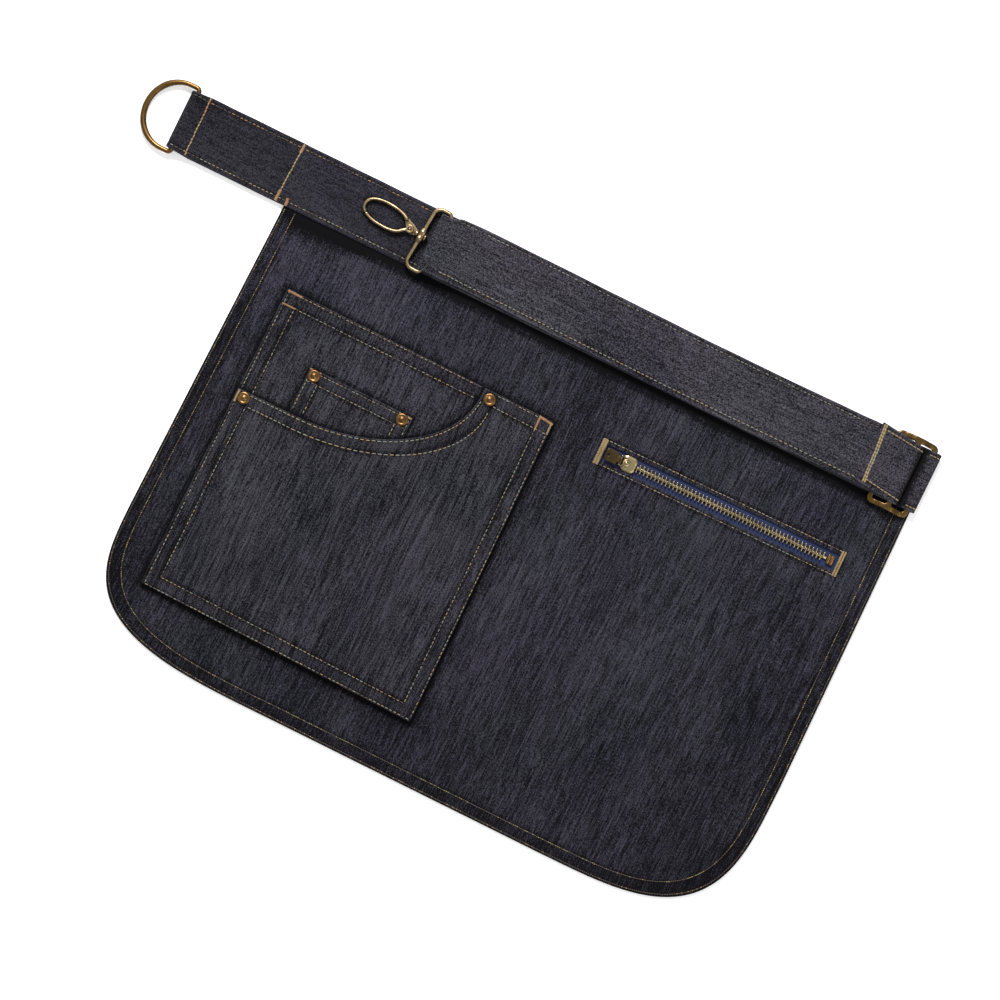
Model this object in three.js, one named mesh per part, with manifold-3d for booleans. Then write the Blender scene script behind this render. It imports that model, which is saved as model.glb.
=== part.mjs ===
// Denim waist apron lying flat on its back, with the front up.
// Millimetres. X runs right along the waistband, Y runs up towards it, Z stands out of the front.
import * as THREE from 'three';
import { mergeVertices } from 'three/addons/utils/BufferGeometryUtils.js';
import Module from 'manifold-3d';

const wasm = await Module();
wasm.setup();

// Cloth and clearances
const gap = 0.3;
const cloth = 1.0;
const hemWidth = 10;
const gridPitch = 24;

// Waistband, with the tab that reaches past the skirt on the left
const bandLength = 579;
const bandWidth = 45.5;
const bandThickness = 4.2;
const tabLength = 92;
const tabLap = 86;
const tabLayer = 1.95;
const tuckDepth = 12;
const bandEdge = 1.1;
const ringPlay = 0.9;

// Skirt outline
const skirtDrop = 328;
const leftFlare = 4.8;
const rightFlare = 3.2;
const leftCorner = { across: 154, down: 91, fullness: 3.4 };
const rightCorner = { across: 131, down: 115, fullness: 3.5 };
const hemFall = 1.2;

// D-ring held in the tab's fold
const ringWire = 4.4;
const ringHeight = 53.2;
const ringReach = 30;
const ringShoulder = 7;
const ringCorner = 2.5;

// Strap, folded round the hook's loop on the left and round the slider's bar on the right
const strapWidth = 45;
const strapThickness = 1.6;
const strapNeck = 40.4;
const strapTuck = 14;
const lapReach = 28.3;
const lapBend = 3.6;
const neckShift = -0.7;
const sliderFromEnd = 16.5;
const sliderShift = -1.1;
const strapFoldFromLeft = 194.6;

// Three-bar slider
const sliderLength = 31.5;
const sliderHeight = 56.1;
const sliderMetal = 1.6;
const sliderBar = 4.0;
const sliderRail = 4.0;
const sliderCorner = 4.5;

// Swivel hook: loop, boss, hooked arm and gate
const loopWire = 3.1;
const loopLength = 15;
const loopHeight = 49.4;
const loopOuterCorner = 5.5;
const loopInnerCorner = 2.6;
const hookTurn = -4.5;
const bossLength = 10.8;
const bossDiameter = 4.8;
const shankDiameter = 2.2;
const rivetHead = 5.4;
const rivetHeadThickness = 1.3;
const hookReach = 45.4;
const hookUp = 9.2;
const hookDown = 9.2;
const hookWire = 2.3;
const gateShare = 0.52;
const eyeRadius = 3.1;
const gateClearance = 0.17;
const hookRest = 0.6;
const eyeSetBack = 6.6;
const armSetBack = 25.8;
const armFullness = 2.25;
const rootAngle = 0.62;
const pinRadius = 0.8;
const cheekLow = -2.45;
const cheekHigh = -1.6;

// Patch pocket with its scooped front and the coin pocket
const pocketLeft = 120.2;
const pocketTop = 96;
const pocketTopWidth = 208;
const pocketSpread = 3.5;
const pocketBottomWidth = pocketTopWidth + pocketSpread;
const pocketHeight = 229.5;
const pocketTopFall = 2.5;
const pocketBottomFall = 5.2;
const scoopDrop = 77.7;
const scoopFlat = 44.5;
const scoopAcross = 110;
const scoopRise = 70.4;
const pocketRim = 8.5;
const coinLeft = 38.7;
const coinTop = 42.7;
const coinWidth = 79.8;
const coinHeight = 49;

// Rivets
const rivetDiameter = 9.4;
const rivetHeight = 1.6;
const rivetInset = 6.4;

// Zip pocket
const zipFromRight = 30.4;
const zipFromPocket = 37.9;
const zipTop = 95.9;
const zipLeft = pocketLeft + pocketBottomWidth + zipFromPocket;
const zipLength = bandLength - zipFromRight - zipLeft;
const zipWindow = 12.2;
const zipTurn = 0.7;
const tapeThickness = 0.8;
const tapeMargin = 6;
const chainWidth = 8;
const chainHeight = 2.2;
const chainStart = 24.5;
const chainEnd = 7.5;
const chainLength = zipLength - chainStart - chainEnd;
const toothPitch = 2.84;
const toothWidth = 1.45;
const zipSliderLength = 12.4;
const zipSliderWidth = 11.6;
const zipSliderHeight = 4.6;
const pullLength = 12;
const pullWidth = 9;
const pullThickness = 1.2;
const stopLength = 4.9;
const stopWidth = 7;
const stopHeight = 2.2;
const bagThickness = 1.0;
const bagDepth = 120;
const bagMargin = 8;

// Soft folds that lift the skirt: places and sizes are shares of its width and drop
const folds = [
  { across: 0.52, down: 0.22, wide: 0.035, long: 0.20, lift: 2.4, lean: 0.10 },
  { across: 0.60, down: 0.62, wide: 0.050, long: 0.28, lift: 2.0, lean: -0.12 },
  { across: 0.80, down: 0.72, wide: 0.055, long: 0.24, lift: 1.8, lean: 0.16 },
  { across: 0.93, down: 0.50, wide: 0.040, long: 0.26, lift: 1.4, lean: 0.05 },
];

// Places worked out from the sizes above
const skirtLeft = tabLength;
const skirtWidth = bandLength - tabLength + 0.5;
const skirtRight = skirtLeft + skirtWidth;
const skirtTop = -bandWidth;
const skirtBottom = skirtTop - skirtDrop;
const bandMiddle = -bandWidth / 2;
const slotHeight = cloth + 2 * gap;
const slotFloor = (bandThickness - slotHeight) / 2;
const tuckLift = slotFloor + gap - cloth;
const frontFace = 2 * cloth;
const pocketBottom = pocketTop + pocketHeight;
const zipMiddle = zipTop + zipWindow / 2;
const bagLift = bagThickness + tapeThickness + 2 * gap - cloth;

// Meshes from sections, prisms and cut solids
function loft(sections, closed = false) {
  const count = sections[0].length;
  const points = sections.flat();
  const index = [];
  const last = closed ? sections.length : sections.length - 1;
  for (let i = 0; i < last; i += 1) {
    const here = i * count;
    const next = ((i + 1) % sections.length) * count;
    for (let j = 0; j < count; j += 1) {
      const k = (j + 1) % count;
      index.push(here + j, here + k, next + k, here + j, next + k, next + j);
    }
  }
  if (!closed) {
    const end = (sections.length - 1) * count;
    for (let j = 1; j < count - 1; j += 1) {
      index.push(0, j + 1, j, end, end + j, end + j + 1);
    }
  }
  const geometry = new THREE.BufferGeometry().setFromPoints(points);
  geometry.setIndex(index);
  return geometry;
}

function toSolid(geometry) {
  const bare = geometry.clone();
  bare.deleteAttribute('normal');
  bare.deleteAttribute('uv');
  const merged = mergeVertices(bare, 1e-4);
  const vertProperties = new Float32Array(merged.attributes.position.array);
  const triVerts = new Uint32Array(merged.index.array);
  const solid = new wasm.Manifold(new wasm.Mesh({ numProp: 3, vertProperties, triVerts }));
  return solid;
}

function toGeometry(solid) {
  const mesh = solid.getMesh();
  const geometry = new THREE.BufferGeometry();
  geometry.setAttribute('position', new THREE.BufferAttribute(new Float32Array(mesh.vertProperties), 3));
  geometry.setIndex(new THREE.BufferAttribute(new Uint32Array(mesh.triVerts), 1));
  return geometry;
}

function prism(outline, low, high) {
  const shape = new THREE.Shape(outline.map((p) => new THREE.Vector2(p.x, p.y)));
  const depth = high - low;
  return new THREE.ExtrudeGeometry(shape, { depth, bevelEnabled: false }).translate(0, 0, low);
}

function block(x0, x1, y0, y1, z0, z1) {
  const box = new THREE.BoxGeometry(x1 - x0, y1 - y0, z1 - z0);
  return box.translate((x0 + x1) / 2, (y0 + y1) / 2, (z0 + z1) / 2);
}

// A wire along points, closed or open, with a radius that may change on the way
function wire(points, radius, sides, closed = false, flatten = 1) {
  const up = new THREE.Vector3(0, 0, 1);
  const total = points.length;
  const sections = points.map((point, i) => {
    const before = closed ? points[(i - 1 + total) % total] : points[Math.max(i - 1, 0)];
    const after = closed ? points[(i + 1) % total] : points[Math.min(i + 1, total - 1)];
    const along = after.clone().sub(before).normalize();
    const side = up.clone().cross(along).normalize();
    const size = typeof radius === 'function' ? radius(i / (total - 1)) : radius;
    const section = [];
    for (let k = 0; k < sides; k += 1) {
      const angle = (2 * Math.PI * k) / sides;
      const across = side.clone().multiplyScalar(size * Math.cos(angle));
      const rise = up.clone().multiplyScalar(size * flatten * Math.sin(angle));
      section.push(point.clone().add(across).add(rise));
    }
    return section;
  });
  return loft(sections, closed);
}

// A ribbon along stations in the XZ plane; each station gives its middle line, width and shift
function ribbon(stations, thickness, middle) {
  const sections = stations.map((station, i) => {
    const before = stations[Math.max(i - 1, 0)];
    const after = stations[Math.min(i + 1, stations.length - 1)];
    const along = new THREE.Vector2(after.x - before.x, after.z - before.z).normalize();
    const nx = (-along.y * thickness) / 2;
    const nz = (along.x * thickness) / 2;
    const y0 = middle + station.shift - station.width / 2;
    const y1 = middle + station.shift + station.width / 2;
    return [
      new THREE.Vector3(station.x - nx, y0, station.z - nz),
      new THREE.Vector3(station.x - nx, y1, station.z - nz),
      new THREE.Vector3(station.x + nx, y1, station.z + nz),
      new THREE.Vector3(station.x + nx, y0, station.z + nz),
    ];
  });
  return loft(sections);
}

// Points of a bend in the XZ plane, from one angle to another in degrees
function bend(x, z, rx, rz, from, to, steps, width, shift) {
  const stations = [];
  for (let i = 0; i <= steps; i += 1) {
    const angle = THREE.MathUtils.degToRad(from + ((to - from) * i) / steps);
    stations.push({ x: x + rx * Math.cos(angle), z: z + rz * Math.sin(angle), width, shift });
  }
  return stations;
}

// Skirt surface: the lift that every cloth piece on the skirt shares
function smooth(value) {
  const t = THREE.MathUtils.clamp(value, 0, 1);
  return t * t * (3 - 2 * t);
}

function liftAt(x, y) {
  const across = (x - skirtLeft) / skirtWidth;
  const down = (skirtTop - y) / skirtDrop;
  let lift = 0;
  for (const fold of folds) {
    const a = (across - fold.across - fold.lean * (down - fold.down)) / fold.wide;
    const d = (down - fold.down) / fold.long;
    lift += fold.lift * Math.exp(-0.5 * (a * a + d * d));
  }
  const clearOfPocket = smooth((x - (pocketLeft + pocketBottomWidth)) / 60);
  const atHem = smooth((y - skirtBottom) / 50);
  const zipSide = smooth((x - (zipLeft - 60)) / 36) * smooth((skirtRight + 30 - x) / 36);
  const zipDepth = smooth((y + zipTop + bagDepth + 60) / 36);
  const bagRise = bagLift * zipSide * zipDepth;
  const tucked = smooth((y - skirtTop + 28) / 20);
  const free = bagRise + lift * clearOfPocket * atHem;
  return free * (1 - tucked) + tuckLift * tucked;
}

function gridLines(from, to) {
  const cells = Math.ceil(Math.abs(to - from) / gridPitch);
  return Array.from({ length: cells + 1 }, (_, i) => from + ((to - from) * i) / cells);
}

const columns = gridLines(skirtLeft - leftFlare - 8, skirtRight + rightFlare + 8);
const rows = [skirtTop + tuckDepth + 6, ...gridLines(skirtTop - 10, skirtBottom - 10)];

function plate(low, high) {
  const make = (x, y, z) => new THREE.Vector3(x, y, z + liftAt(x, y));
  const points = [];
  const across = columns.length;
  for (const z of [low, high]) {
    for (const y of rows) {
      for (const x of columns) points.push(make(x, y, z));
    }
  }
  const layer = rows.length * across;
  const at = (r, c, top) => (top ? layer : 0) + r * across + c;
  const index = [];
  for (let r = 0; r < rows.length - 1; r += 1) {
    for (let c = 0; c < across - 1; c += 1) {
      const t = [at(r, c, true), at(r + 1, c, true), at(r + 1, c + 1, true), at(r, c + 1, true)];
      const b = t.map((v) => v - layer);
      index.push(t[0], t[1], t[2], t[0], t[2], t[3]);
      index.push(b[0], b[2], b[1], b[0], b[3], b[2]);
    }
  }
  const wall = (a, b) => index.push(a, b, b + layer, a, b + layer, a + layer);
  const end = rows.length - 1;
  for (let c = 0; c < across - 1; c += 1) {
    wall(at(0, c + 1, false), at(0, c, false));
    wall(at(end, c, false), at(end, c + 1, false));
  }
  for (let r = 0; r < end; r += 1) {
    wall(at(r, 0, false), at(r + 1, 0, false));
    wall(at(r + 1, across - 1, false), at(r, across - 1, false));
  }
  const geometry = new THREE.BufferGeometry().setFromPoints(points);
  geometry.setIndex(index);
  return geometry;
}

const tall = 60;
const beyond = 2 * bandLength;
const cutAll = (outline) => toSolid(prism(outline, -tall, tall));
const layerOf = (outline, low, high) => toSolid(plate(low, high)).intersect(cutAll(outline));

// Skirt outline, inset by a given width on its free sides
function skirtOutline(inset) {
  const points = [];
  const top = skirtTop + tuckDepth;
  const bottom = skirtBottom + inset;
  const left = skirtLeft - leftFlare + inset;
  const right = skirtRight + rightFlare - inset;
  const corner = (c) => ({ a: c.across - inset, b: c.down - inset, n: c.fullness });
  const l = corner(leftCorner);
  const r = corner(rightCorner);
  points.push({ x: skirtLeft + inset, y: top });
  points.push({ x: skirtLeft + inset, y: skirtTop - 6 });
  const steps = 12;
  const power = (v, n) => Math.sign(v) * Math.abs(v) ** (2 / n);
  for (let i = 0; i <= steps; i += 1) {
    const angle = (Math.PI / 2) * (i / steps);
    const x = left + l.a - l.a * power(Math.cos(angle), l.n);
    points.push({ x, y: bottom + hemFall + l.b - l.b * power(Math.sin(angle), l.n) });
  }
  for (let i = 0; i <= steps; i += 1) {
    const angle = (Math.PI / 2) * (1 - i / steps);
    const x = right - r.a + r.a * power(Math.cos(angle), r.n);
    points.push({ x, y: bottom + r.b - r.b * power(Math.sin(angle), r.n) });
  }
  const notch = bandLength - strapTuck - 2 * gap;
  points.push({ x: skirtRight - inset, y: skirtTop - gap });
  points.push({ x: notch, y: skirtTop - gap });
  points.push({ x: notch, y: top });
  return points;
}

// Rectangle turned about the zip's left end
function zipRectangle(x0, x1, y0, y1) {
  const turn = THREE.MathUtils.degToRad(zipTurn);
  const corners = [[x0, y0], [x1, y0], [x1, y1], [x0, y1]];
  return corners.map(([x, y]) => ({
    x: zipLeft + x * Math.cos(turn) - y * Math.sin(turn),
    y: -zipMiddle + x * Math.sin(turn) + y * Math.cos(turn),
  }));
}

function makeSkirt() {
  const whole = layerOf(skirtOutline(0), 0, frontFace);
  const hollow = toSolid(plate(-tall / 2, cloth)).intersect(cutAll(skirtOutline(hemWidth)));
  const bandZone = toSolid(block(0, beyond, skirtTop - 4, 0, -tall, tall));
  const sunk = toSolid(plate(-tall / 2, cloth)).intersect(bandZone);
  const window = cutAll(zipRectangle(0, zipLength, -zipWindow / 2, zipWindow / 2));
  return toGeometry(whole.subtract(hollow).subtract(sunk).subtract(window));
}

// Waistband: a folded strip with a tail that goes round the D-ring's bar and lies behind
const ringBarX = tabLayer + gap + ringWire / 2;
const tabTop = bandThickness - tabLayer / 2;
const tabTail = tabLayer / 2;
const tabFoldRise = (ringWire + 2 * gap + tabLayer) / 2;
const ringBarZ = tabTail + tabFoldRise;

function makeWaistband() {
  const neck = ringHeight - 2 * ringWire - ringPlay;
  const full = bandWidth;
  const half = tabLayer / 2;
  const end = tabLap + 2;
  const front = [
    { x: end, z: tabTop, width: full, shift: 0 },
    { x: 26, z: tabTop, width: full, shift: 0 },
    { x: 16, z: tabTop + 0.7, width: full, shift: 0 },
    { x: 11, z: tabTop + 2.1, width: neck + 0.6, shift: 0 },
  ];
  const round = bend(ringBarX, ringBarZ, ringBarX - half, tabFoldRise, 90, 270, 10, neck, 0);
  const back = [
    { x: 11, z: tabTail, width: neck + 0.6, shift: 0 },
    { x: 17, z: tabTail, width: full, shift: 0 },
    { x: end, z: tabTail, width: full, shift: 0 },
  ];
  const tab = toSolid(ribbon([...front, ...round, ...back], tabLayer, bandMiddle));
  const outline = [];
  const corners = [[1, 1], [-1, 1], [-1, -1], [1, -1]];
  corners.forEach(([sy, sz], k) => {
    for (let i = 0; i <= 3; i += 1) {
      const angle = (Math.PI / 2) * (k + i / 3);
      outline.push({
        y: bandMiddle + sy * (bandWidth / 2 - bandEdge) + bandEdge * Math.cos(angle),
        z: bandThickness / 2 + sz * (bandThickness / 2 - bandEdge) + bandEdge * Math.sin(angle),
      });
    }
  });
  const section = (x) => outline.map((p) => new THREE.Vector3(x, p.y, p.z));
  const bar = toSolid(loft([section(tabLap), section(bandLength)]));
  const slotTop = skirtTop + tuckDepth + gap;
  const slotLeft = skirtLeft - gap;
  const skirtSlot = block(slotLeft, beyond, skirtTop - 5, slotTop, slotFloor, slotFloor + slotHeight);
  const strapSlotFloor = (bandThickness - strapThickness) / 2 - gap;
  const strapSlotTop = strapSlotFloor + strapThickness + 2 * gap;
  const slotEnd = bandLength - strapTuck - gap;
  const strapSlot = block(slotEnd, beyond, skirtTop - 5, 5, strapSlotFloor, strapSlotTop);
  return toGeometry(bar.add(tab).subtract(toSolid(skirtSlot)).subtract(toSolid(strapSlot)));
}

// D-ring: a straight bar and a half round, lying with its far side down
function makeRing() {
  const half = (ringHeight - ringWire) / 2;
  const shoulder = -ringShoulder;
  const across = ringReach - ringShoulder;
  const points = [];
  for (let i = 0; i <= 20; i += 1) {
    const angle = Math.PI / 2 + (Math.PI * i) / 20;
    points.push(new THREE.Vector3(shoulder + across * Math.cos(angle), half * Math.sin(angle), 0));
  }
  for (const side of [-1, 1]) {
    const corner = [];
    for (let i = 0; i <= 4; i += 1) {
      const angle = (Math.PI / 2) * (1 - i / 4);
      const x = -ringCorner + ringCorner * Math.cos(angle);
      corner.push(new THREE.Vector3(x, side * (half - ringCorner + ringCorner * Math.sin(angle)), 0));
    }
    points.push(...(side < 0 ? corner : corner.reverse()));
  }
  return wire(points, ringWire / 2, 8, true);
}

// Strap
const levelStep = strapThickness + gap;
const level = (n) => bandThickness + gap + strapThickness / 2 + (n - 1) * levelStep;
const sliderX = bandLength - sliderFromEnd;
const barX = (sliderLength - sliderBar) / 2;
const loopBarRise = (loopWire + 2 * gap + strapThickness) / 2;
const loopBarZ = level(1) + loopBarRise;
const loopBarX = strapFoldFromLeft + strapThickness / 2 + 4.4;

function makeStrap() {
  const at = (x, z, shift = 0, width = strapWidth) => ({ x, z, width, shift });
  const tuckZ = bandThickness / 2;
  const foldRise = (level(2) - tuckZ) / 2;
  const foldZ = tuckZ + foldRise;
  const lapRight = sliderX + sliderBar / 2 - 0.8;
  const lapEnd = sliderX - lapReach;
  const path = [
    at(bandLength - strapTuck, tuckZ),
    at(bandLength - 0.6, tuckZ),
    ...bend(bandLength, foldZ, 2.2, foldRise, -90, 90, 8, strapWidth, 0),
    at(sliderX + barX - sliderBar / 2 - 1, level(2)),
    at(sliderX + 5.5, level(1)),
    at(sliderX - 5.5, level(1)),
    at(sliderX - barX + sliderBar / 2 + 1, level(2)),
    at(sliderX - 20, level(2), 0.3),
    at(sliderX - 31, level(1), 0.4),
    at(sliderX - 120, level(1), 0),
    at(loopBarX + 60, level(1), 0),
    at(loopBarX + 12, level(1), neckShift, strapWidth - 1),
    at(loopBarX + 5, level(1), neckShift, strapNeck),
    ...bend(loopBarX, loopBarZ, 4.4, loopBarRise, 270, 90, 10, strapNeck, neckShift),
    at(loopBarX + 5, level(1) + 2 * loopBarRise - 0.3, neckShift, strapNeck),
    at(loopBarX + 12, level(2) + 2.0, 0.6, strapWidth - 1),
    at(loopBarX + 24, level(2) + 0.5, 1.4),
    at(loopBarX + 38, level(2), 1.6),
    at(loopBarX + 110, level(2), 1.0),
    at(loopBarX + 200, level(2), 0.1),
    at(loopBarX + 270, level(2), 0.4),
    at(sliderX - 42, level(2), 1.0),
    at(sliderX - 31.5, level(3), 1.3),
    at(sliderX - barX + sliderBar / 2 + 1, level(3), 0.6),
    at(sliderX - 5.5, level(2), -0.2),
    ...bend(lapRight, level(3), lapBend, levelStep, -90, 90, 8, strapWidth, -0.6),
    at(sliderX - 12, level(4), 1.0),
    at(lapEnd, level(4), 2.8),
  ];
  return ribbon(path, strapThickness, bandMiddle);
}

// Slider: a flat three-bar plate bowed up in the middle
function makeSlider() {
  const half = sliderLength / 2;
  const rounded = (x0, x1, y0, y1, r) => {
    const shape = new THREE.Shape();
    shape.moveTo(x0 + r, y0);
    shape.lineTo(x1 - r, y0);
    shape.absarc(x1 - r, y0 + r, r, -Math.PI / 2, 0);
    shape.lineTo(x1, y1 - r);
    shape.absarc(x1 - r, y1 - r, r, 0, Math.PI / 2);
    shape.lineTo(x0 + r, y1);
    shape.absarc(x0 + r, y1 - r, r, Math.PI / 2, Math.PI);
    shape.lineTo(x0, y0 + r);
    shape.absarc(x0 + r, y0 + r, r, Math.PI, Math.PI * 1.5);
    return shape;
  };
  const high = sliderHeight / 2;
  const outer = rounded(-half, half, -high, high, sliderCorner);
  const inner = high - sliderRail;
  outer.holes.push(rounded(-half + sliderBar, -sliderBar / 2, -inner, inner, 1.2));
  outer.holes.push(rounded(sliderBar / 2, half - sliderBar, -inner, inner, 1.2));
  const plan = new THREE.ExtrudeGeometry(outer, { depth: tall, bevelEnabled: false, curveSegments: 5 });
  const flat = half - sliderBar;
  const rise = 2 * levelStep;
  const sections = [];
  for (let i = 0; i <= 24; i += 1) {
    const x = -half - 1 + ((sliderLength + 2) * i) / 24;
    const t = THREE.MathUtils.clamp((Math.abs(x) - sliderBar / 2) / (flat - sliderBar / 2), 0, 1);
    const z = level(1) + rise * (0.5 + 0.5 * Math.cos(Math.PI * t));
    const m = sliderMetal / 2;
    sections.push([
      new THREE.Vector3(x, -high - 1, z - m),
      new THREE.Vector3(x, high + 1, z - m),
      new THREE.Vector3(x, high + 1, z + m),
      new THREE.Vector3(x, -high - 1, z + m),
    ]);
  }
  const bowed = toSolid(loft(sections)).intersect(toSolid(plan.translate(0, 0, -tall / 2)));
  return toGeometry(bowed).translate(sliderX, bandMiddle + sliderShift, 0);
}

// Swivel hook, drawn about its loop's hidden bar with the hook pointing to -X
const loopHalf = (loopHeight - loopWire) / 2;
const frontBarX = -(loopLength - loopWire);

function cylinderX(radius, x0, x1, sides) {
  const shaft = new THREE.CylinderGeometry(radius, radius, x1 - x0, sides);
  return shaft.rotateZ(Math.PI / 2).translate((x0 + x1) / 2, 0, 0);
}

function makeLoop() {
  const points = [];
  const corner = (cx, cy, r, from) => {
    for (let i = 0; i <= 4; i += 1) {
      const angle = from + (Math.PI / 2) * (i / 4);
      points.push(new THREE.Vector3(cx + r * Math.cos(angle), cy + r * Math.sin(angle), 0));
    }
  };
  const r1 = loopInnerCorner;
  const r2 = loopOuterCorner;
  corner(-r1, loopHalf - r1, r1, 0);
  corner(frontBarX + r2, loopHalf - r2, r2, Math.PI / 2);
  corner(frontBarX + r2, -loopHalf + r2, r2, Math.PI);
  corner(-r1, -loopHalf + r1, r1, Math.PI * 1.5);
  const rod = toSolid(wire(points, loopWire / 2, 8, true));
  const boss = new THREE.CylinderGeometry(bossDiameter / 2, bossDiameter / 2, bossLength, 12);
  boss.scale(1, 1, 1.15).translate(frontBarX, 0, 0);
  const bore = cylinderX(shankDiameter / 2 + gap, frontBarX - 6, frontBarX + 6, 12);
  return toGeometry(rod.add(toSolid(boss)).subtract(toSolid(bore)));
}

const bossHalf = bossDiameter / 2 + gap;
const headX = frontBarX + bossHalf;
const collarX = frontBarX - bossHalf;
const eyeX = collarX - eyeSetBack;
const armCentre = collarX - armSetBack;
const armHalf = hookReach / 2 - 6;

function armPoint(angle) {
  const power = (v) => Math.sign(v) * Math.abs(v) ** (2 / armFullness);
  const c = Math.cos(angle);
  const s = Math.sin(angle);
  const reach = s > 0 ? hookUp - hookWire / 2 : hookDown - hookWire / 2;
  return new THREE.Vector3(armCentre + armHalf * power(c), reach * power(s), 0);
}

const noseAngle = 2 * Math.PI * (1 - gateShare / 2) - Math.PI * 0.29;

function makeHook() {
  const shank = toSolid(cylinderX(shankDiameter / 2, collarX - 1, headX + 0.5, 12));
  const head = toSolid(cylinderX(rivetHead / 2, headX, headX + rivetHeadThickness, 12));
  const collar = toSolid(block(collarX - 2.4, collarX, cheekHigh, -cheekHigh, cheekLow, -cheekHigh));
  const points = [];
  for (let i = 0; i <= 26; i += 1) {
    points.push(armPoint(rootAngle + ((noseAngle - rootAngle) * i) / 26));
  }
  const arm = toSolid(wire(points, hookWire / 2, 8));
  const root = points[0];
  const cheekOutline = [
    { x: collarX, y: -1.6 },
    { x: collarX, y: 1.6 },
    { x: eyeX + 2, y: 4.0 },
    { x: root.x + 1.1, y: root.y + 1.0 },
    { x: root.x - 1.1, y: root.y + 0.8 },
    { x: root.x - 0.6, y: root.y - 1.4 },
    { x: eyeX - 3.4, y: 0 },
    { x: eyeX - 1.6, y: -2.9 },
    { x: eyeX + 1.8, y: -2.9 },
  ];
  const cheek = toSolid(prism(cheekOutline, cheekLow, cheekHigh));
  const post = new THREE.CylinderGeometry(1.0, 1.0, 3.2, 10).rotateX(Math.PI / 2);
  const posted = toSolid(post.translate(root.x + 0.1, root.y, cheekLow + 1.6));
  const pin = new THREE.CylinderGeometry(pinRadius, pinRadius, 3.6, 10).rotateX(Math.PI / 2);
  const pinned = toSolid(pin.translate(eyeX, 0, cheekLow + 1.8));
  return toGeometry(shank.add(head).add(collar).add(arm).add(cheek).add(posted).add(pinned));
}

function makeGate() {
  const first = noseAngle + gateClearance;
  const last = 2 * Math.PI - 0.75;
  const points = [];
  for (let i = 0; i <= 14; i += 1) points.push(armPoint(first + ((last - first) * i) / 14));
  points.push(new THREE.Vector3(eyeX - 2.4, -1.6, 0));
  const radius = (t) => (hookWire / 2) * (1 + 0.35 * Math.max(0, t - 0.6));
  const rod = toSolid(wire(points, radius, 8));
  const eye = new THREE.CylinderGeometry(eyeRadius, eyeRadius, 2, 16).rotateX(Math.PI / 2);
  const hole = new THREE.CylinderGeometry(pinRadius + gap, pinRadius + gap, 8, 12).rotateX(Math.PI / 2);
  const pinHole = toSolid(hole.translate(eyeX, 0, 0));
  return toGeometry(rod.add(toSolid(eye.translate(eyeX, 0, 0))).subtract(pinHole));
}

// Pockets
const pocketBase = frontFace + gap;
const coinBase = pocketBase + cloth + gap;
const frontBase = coinBase + cloth + gap;
const pocketTopLeft = { x: pocketLeft, y: -pocketTop };

function pocketCorners(inset) {
  const lean = (pocketBottomWidth - pocketTopWidth) / 2;
  const x = pocketTopLeft.x;
  const y = pocketTopLeft.y;
  return {
    topLeft: { x: x + inset, y },
    topRight: { x: x + pocketTopWidth - inset, y: y - pocketTopFall },
    bottomRight: { x: x + pocketTopWidth + lean - inset, y: y - pocketHeight - pocketBottomFall + inset },
    bottomLeft: { x: x - lean + inset, y: y - pocketHeight + inset },
  };
}

function makePocketBack() {
  const c = pocketCorners(0);
  const outline = [c.topLeft, c.bottomLeft, c.bottomRight, c.topRight];
  return toGeometry(layerOf(outline, pocketBase, pocketBase + cloth));
}

function scoopOutline(inset, above) {
  const c = pocketCorners(inset);
  const flatEnd = pocketLeft + scoopFlat;
  const low = -pocketTop - scoopDrop + above;
  const points = [c.bottomLeft, c.bottomRight];
  points.push({ x: c.topRight.x, y: c.topRight.y + above });
  points.push({ x: flatEnd + scoopAcross - above, y: -pocketTop - pocketTopFall * 0.8 + above });
  for (let i = 0; i <= 12; i += 1) {
    const angle = (Math.PI / 2) * (i / 12);
    const x = flatEnd + (scoopAcross - above) * Math.cos(angle);
    points.push({ x, y: low + scoopRise - scoopRise * Math.sin(angle) });
  }
  points.push({ x: c.topLeft.x - 0.5, y: low });
  return points;
}

function makePocketFront() {
  const whole = layerOf(scoopOutline(0, 0), coinBase, frontBase + cloth);
  const inside = scoopOutline(pocketRim, 3);
  const hollow = toSolid(plate(coinBase - 2, frontBase)).intersect(cutAll(inside));
  return toGeometry(whole.subtract(hollow));
}

function makeCoinPocket() {
  const x0 = pocketLeft + coinLeft;
  const y0 = -pocketTop - coinTop;
  const outline = [
    { x: x0, y: y0 },
    { x: x0, y: y0 - coinHeight },
    { x: x0 + coinWidth, y: y0 - coinHeight },
    { x: x0 + coinWidth, y: y0 },
  ];
  return toGeometry(layerOf(outline, coinBase, coinBase + cloth));
}

// Rivets: a turned cap with a ring groove and a nub
function makeRivet(x, y, base) {
  const r = rivetDiameter / 2;
  const profile = [
    [0, 0], [r, 0], [r, 0.5], [r * 0.86, 1.1], [r * 0.6, rivetHeight * 0.8],
    [r * 0.5, rivetHeight * 0.62], [r * 0.34, rivetHeight * 0.62], [r * 0.26, rivetHeight], [0, rivetHeight],
  ];
  const turned = profile.map(([px, py]) => new THREE.Vector2(px, py));
  const cap = new THREE.LatheGeometry(turned, 16).rotateX(Math.PI / 2);
  return cap.translate(x, y, base + gap + liftAt(x, y));
}

// Zip
const zipLift = liftAt(zipLeft + zipLength / 2, -zipMiddle);
const tapeLow = zipLift + cloth - gap - tapeThickness;
const tapeTop = tapeLow + tapeThickness;

function zipPlace(geometry) {
  const turn = THREE.MathUtils.degToRad(zipTurn);
  return geometry.rotateZ(turn).translate(zipLeft, -zipMiddle, tapeTop + 0.1);
}

function makeTape() {
  const half = zipWindow / 2 + tapeMargin;
  return prism(zipRectangle(-tapeMargin, zipLength + tapeMargin, -half, half), tapeLow, tapeTop);
}

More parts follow.
